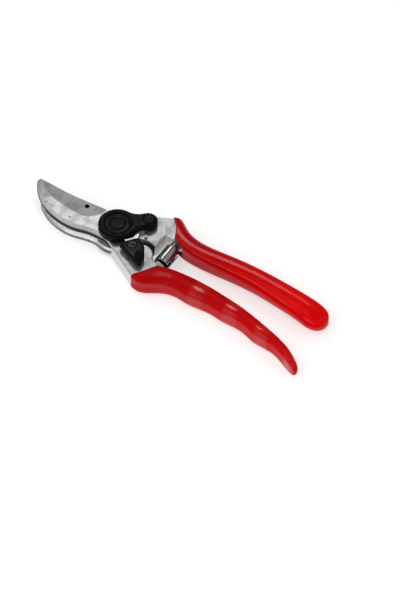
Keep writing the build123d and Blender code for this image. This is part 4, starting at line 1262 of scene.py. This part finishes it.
@dataclass
class Studio:
    """White floor, soft light and the camera of the photograph."""

    elevation: float = 51.0
    azimuth: float = 33.0
    scale: float = 1.6
    pivot_pixel: Point = (117.0, 233.2)
    frame_size: Point = (400.0, 600.0)
    lens: float = 500.0
    sensor: float = 36.0
    floor_half: float = 12.0
    floor_white: float = 0.76
    floor_glow: float = 0.52
    floor_drop: float = 0.0002
    sky_bands: Point = (0.45, 0.78)
    sky_greys: Sequence[float] = (0.72, 0.70, 0.78, 0.22)
    front_wall: float = 0.85
    back_wall: float = 0.40
    wall_turn: Point = (0.1, 0.85)
    clip: Point = (0.05, 50.0)
    lamps: Sequence[Lamp] = (
        Lamp("back_window", 51.0, 180.0, 1.6, (0.20, 0.34), 2.2),
        Lamp("left_softbox", 50.0, -112.0, 1.8, (1.4, 1.4), 4.0),
        Lamp("right_softbox", 55.0, 70.0, 1.8, (1.4, 1.4), 2.4),
        Lamp("front_fill", 30.0, -42.0, 1.8, (1.2, 0.6), 6.0),
    )

    def floor(self) -> None:
        """Lay the floor: a plain white plane, seen a little brighter than it is lit."""
        low = CAD_BOX[0].z - self.floor_drop
        half = self.floor_half
        mesh = bpy.data.meshes.new("floor")
        corners = [(-half, -half, low), (half, -half, low), (half, half, low), (-half, half, low)]
        mesh.from_pydata(corners, [], [(0, 1, 2, 3)])
        plane = link("floor", mesh)
        material = bpy.data.materials.new("floor_white")
        material.use_nodes = True
        material.node_tree.nodes.clear()
        wires = Wiring(material.node_tree)
        white = wires.add("ShaderNodeBsdfDiffuse", {"Color": (self.floor_white,) * 3}).outputs[0]
        bright = {"Color": (1.0, 1.0, 1.0), "Strength": self.floor_glow}
        glow = wires.add("ShaderNodeEmission", bright).outputs[0]
        both = wires.add("ShaderNodeAddShader", {0: white, 1: glow}).outputs[0]
        mixed = wires.add("ShaderNodeMixShader", {0: self.seen(wires), 1: white, 2: both}).outputs[0]
        wires.add("ShaderNodeOutputMaterial", {"Surface": mixed})
        mesh.materials.append(material)

    @staticmethod
    def seen(wires: Wiring) -> Socket:
        """1 for rays from the camera, from gloss or through glass, and 0 for others."""
        rays = wires.add("ShaderNodeLightPath").outputs
        either = wires.maths("MAXIMUM", rays["Is Camera Ray"], rays["Is Glossy Ray"])
        return wires.maths("MAXIMUM", either, rays["Is Transmission Ray"])

    def sky(self) -> None:
        """Light the room: pale all round, darker overhead and low behind the shears."""
        world = bpy.data.worlds.new("studio")
        bpy.context.scene.world = world
        world.use_nodes = True
        tree = world.node_tree
        tree.nodes.clear()
        wires = Wiring(tree)
        way = wires.add("ShaderNodeTexCoord").outputs["Generated"]
        tone = wires.add("ShaderNodeValToRGB", {0: wires.axes(way)[2]})
        ramp = tone.color_ramp
        ramp.elements[0].position = 0.0
        ramp.elements[1].position = 1.0
        for place in self.sky_bands:
            ramp.elements.new(place)
        for element, grey in zip(ramp.elements, self.sky_greys):
            element.color = (grey, grey, grey, 1.0)
        facing = {0: way, 1: -direction(self.azimuth, 0.0)}
        behind = wires.add("ShaderNodeVectorMath", facing, operation="DOT_PRODUCT").outputs["Value"]
        wall = wires.span(behind, *self.wall_turn, self.front_wall, self.back_wall)
        background = wires.add("ShaderNodeBackground", {"Color": tone.outputs[0], "Strength": wall})
        wires.add("ShaderNodeOutputWorld", {"Surface": background.outputs[0]})

    def aim(self) -> Tuple[Vector, Vector]:
        """Point of the part at the middle of the picture and the direction from it to the camera."""
        rise = math.radians(self.elevation)
        turn = math.radians(self.azimuth)
        right = (self.frame_size[0] / 2.0 - self.pivot_pixel[0]) / self.scale
        up = (self.pivot_pixel[1] - self.frame_size[1] / 2.0) / (self.scale * math.sin(rise))
        x = right * math.cos(turn) - up * math.sin(turn)
        y = right * math.sin(turn) + up * math.cos(turn)
        return Vector((x, y, MIDDLE)) * MM, direction(self.azimuth, self.elevation)

    def camera(self) -> None:
        """Place the camera at the photograph's viewing angle and framing."""
        target, back = self.aim()
        data = bpy.data.cameras.new("camera")
        data.lens = self.lens
        data.sensor_width = self.sensor
        distance = self.frame_size[1] / self.scale * MM / 2.0 / (self.sensor / 2.0 / self.lens)
        data.clip_start, data.clip_end = self.clip
        camera = link("camera", data)
        face(camera, target, back, distance)
        bpy.context.scene.camera = camera

    def build(self) -> None:
        """Build floor, sky, lamps and camera."""
        self.floor()
        self.sky()
        for lamp in self.lamps:
            lamp.hang(self.azimuth)
        self.camera()
        bpy.context.scene.view_settings.view_transform = "Standard"


HOOK_GRIP = Grip(
    node="hook_grip",
    body=Body.HOOK,
    finish=Vinyl("dipped_vinyl_hook", (0.44, 0.0004, 0.001), (0.84, 0.0006, 0.001)),
    start=36.8,
    stations=(
        (22.0, 13.4, 26.0, GRIP_THICK),
        (28.0, 13.0, 29.4, GRIP_THICK),
        (32.0, 12.7, 27.6, GRIP_THICK),
        (38.0, 10.4, 23.7, GRIP_THICK),
        (46.0, 7.9, 21.0, GRIP_THICK),
        (58.0, 7.0, 20.4, GRIP_THICK),
        (76.0, 7.7, 21.8, GRIP_THICK),
        (96.0, 7.9, 22.2, GRIP_THICK),
        (116.0, 6.0, 21.3, GRIP_THICK - 0.15),
        (132.0, 3.8, 19.9, GRIP_THICK - 0.5),
        (141.0, 2.4, 18.4, GRIP_THICK - 1.2),
        (146.0, 3.4, 16.6, GRIP_THICK - 2.8),
        (149.0, 6.2, 13.8, GRIP_THICK - 6.5),
        (149.9, 8.7, 11.3, GRIP_THICK - 11.5),
    ),
    lean=(-0.36, 0.40),
    hold=0.25,
    start_roundness=3.4,
    seat_side=1,
    seat_floor=14.0,
)

BLADE_GRIP = Grip(
    node="blade_grip",
    body=Body.BLADE,
    finish=Vinyl(
        "dipped_vinyl_blade",
        (0.45, 0.0006, 0.0015),
        (0.66, 0.001, 0.002),
        roughness=0.36,
        index=1.12,
        rubbed=1.0,
    ),
    start=39.2,
    stations=(
        (22.0, -24.4, -15.6, GRIP_THICK),
        (30.5, -28.3, -12.6, GRIP_THICK),
        (36.0, -28.3, -10.2, GRIP_THICK),
        (42.0, -25.4, -8.2, GRIP_THICK),
        (50.0, -21.4, -6.8, GRIP_THICK),
        (57.5, -20.5, -6.1, GRIP_THICK),
        (66.5, -21.2, -5.9, GRIP_THICK),
        (79.0, -20.1, -6.7, GRIP_THICK),
        (92.5, -21.0, -8.2, GRIP_THICK),
        (104.0, -20.9, -10.2, GRIP_THICK),
        (117.0, -24.3, -13.1, GRIP_THICK - 0.4),
        (130.5, -25.2, -17.0, GRIP_THICK - 1.2),
        (142.0, -29.6, -21.4, GRIP_THICK - 2.0),
        (148.0, -32.4, -25.0, GRIP_THICK - 3.4),
        (152.4, -34.0, -28.4, GRIP_THICK - 6.4),
        (154.3, -34.0, -31.0, GRIP_THICK - 11.0),
    ),
    lean=(-0.22, -0.22),
    crest=71.0,
    pitch=25.6,
    ripple=0.45,
    start_roundness=3.4,
    seat_side=-1,
    seat_floor=-10.2,
)


def main() -> None:
    """Build every sub-assembly in order."""
    logging.basicConfig(level=logging.INFO, format="%(name)s: %(message)s")
    build_effects()
    Studio().build()
    HOOK_GRIP.build()
    BLADE_GRIP.build()
    Steelwork().build()
    Hardware().build()
    PivotCover().build()
    ThumbLever().build()
    Bumper().build()
    VoluteSpring().build()


if __name__ == "__main__":
    main()
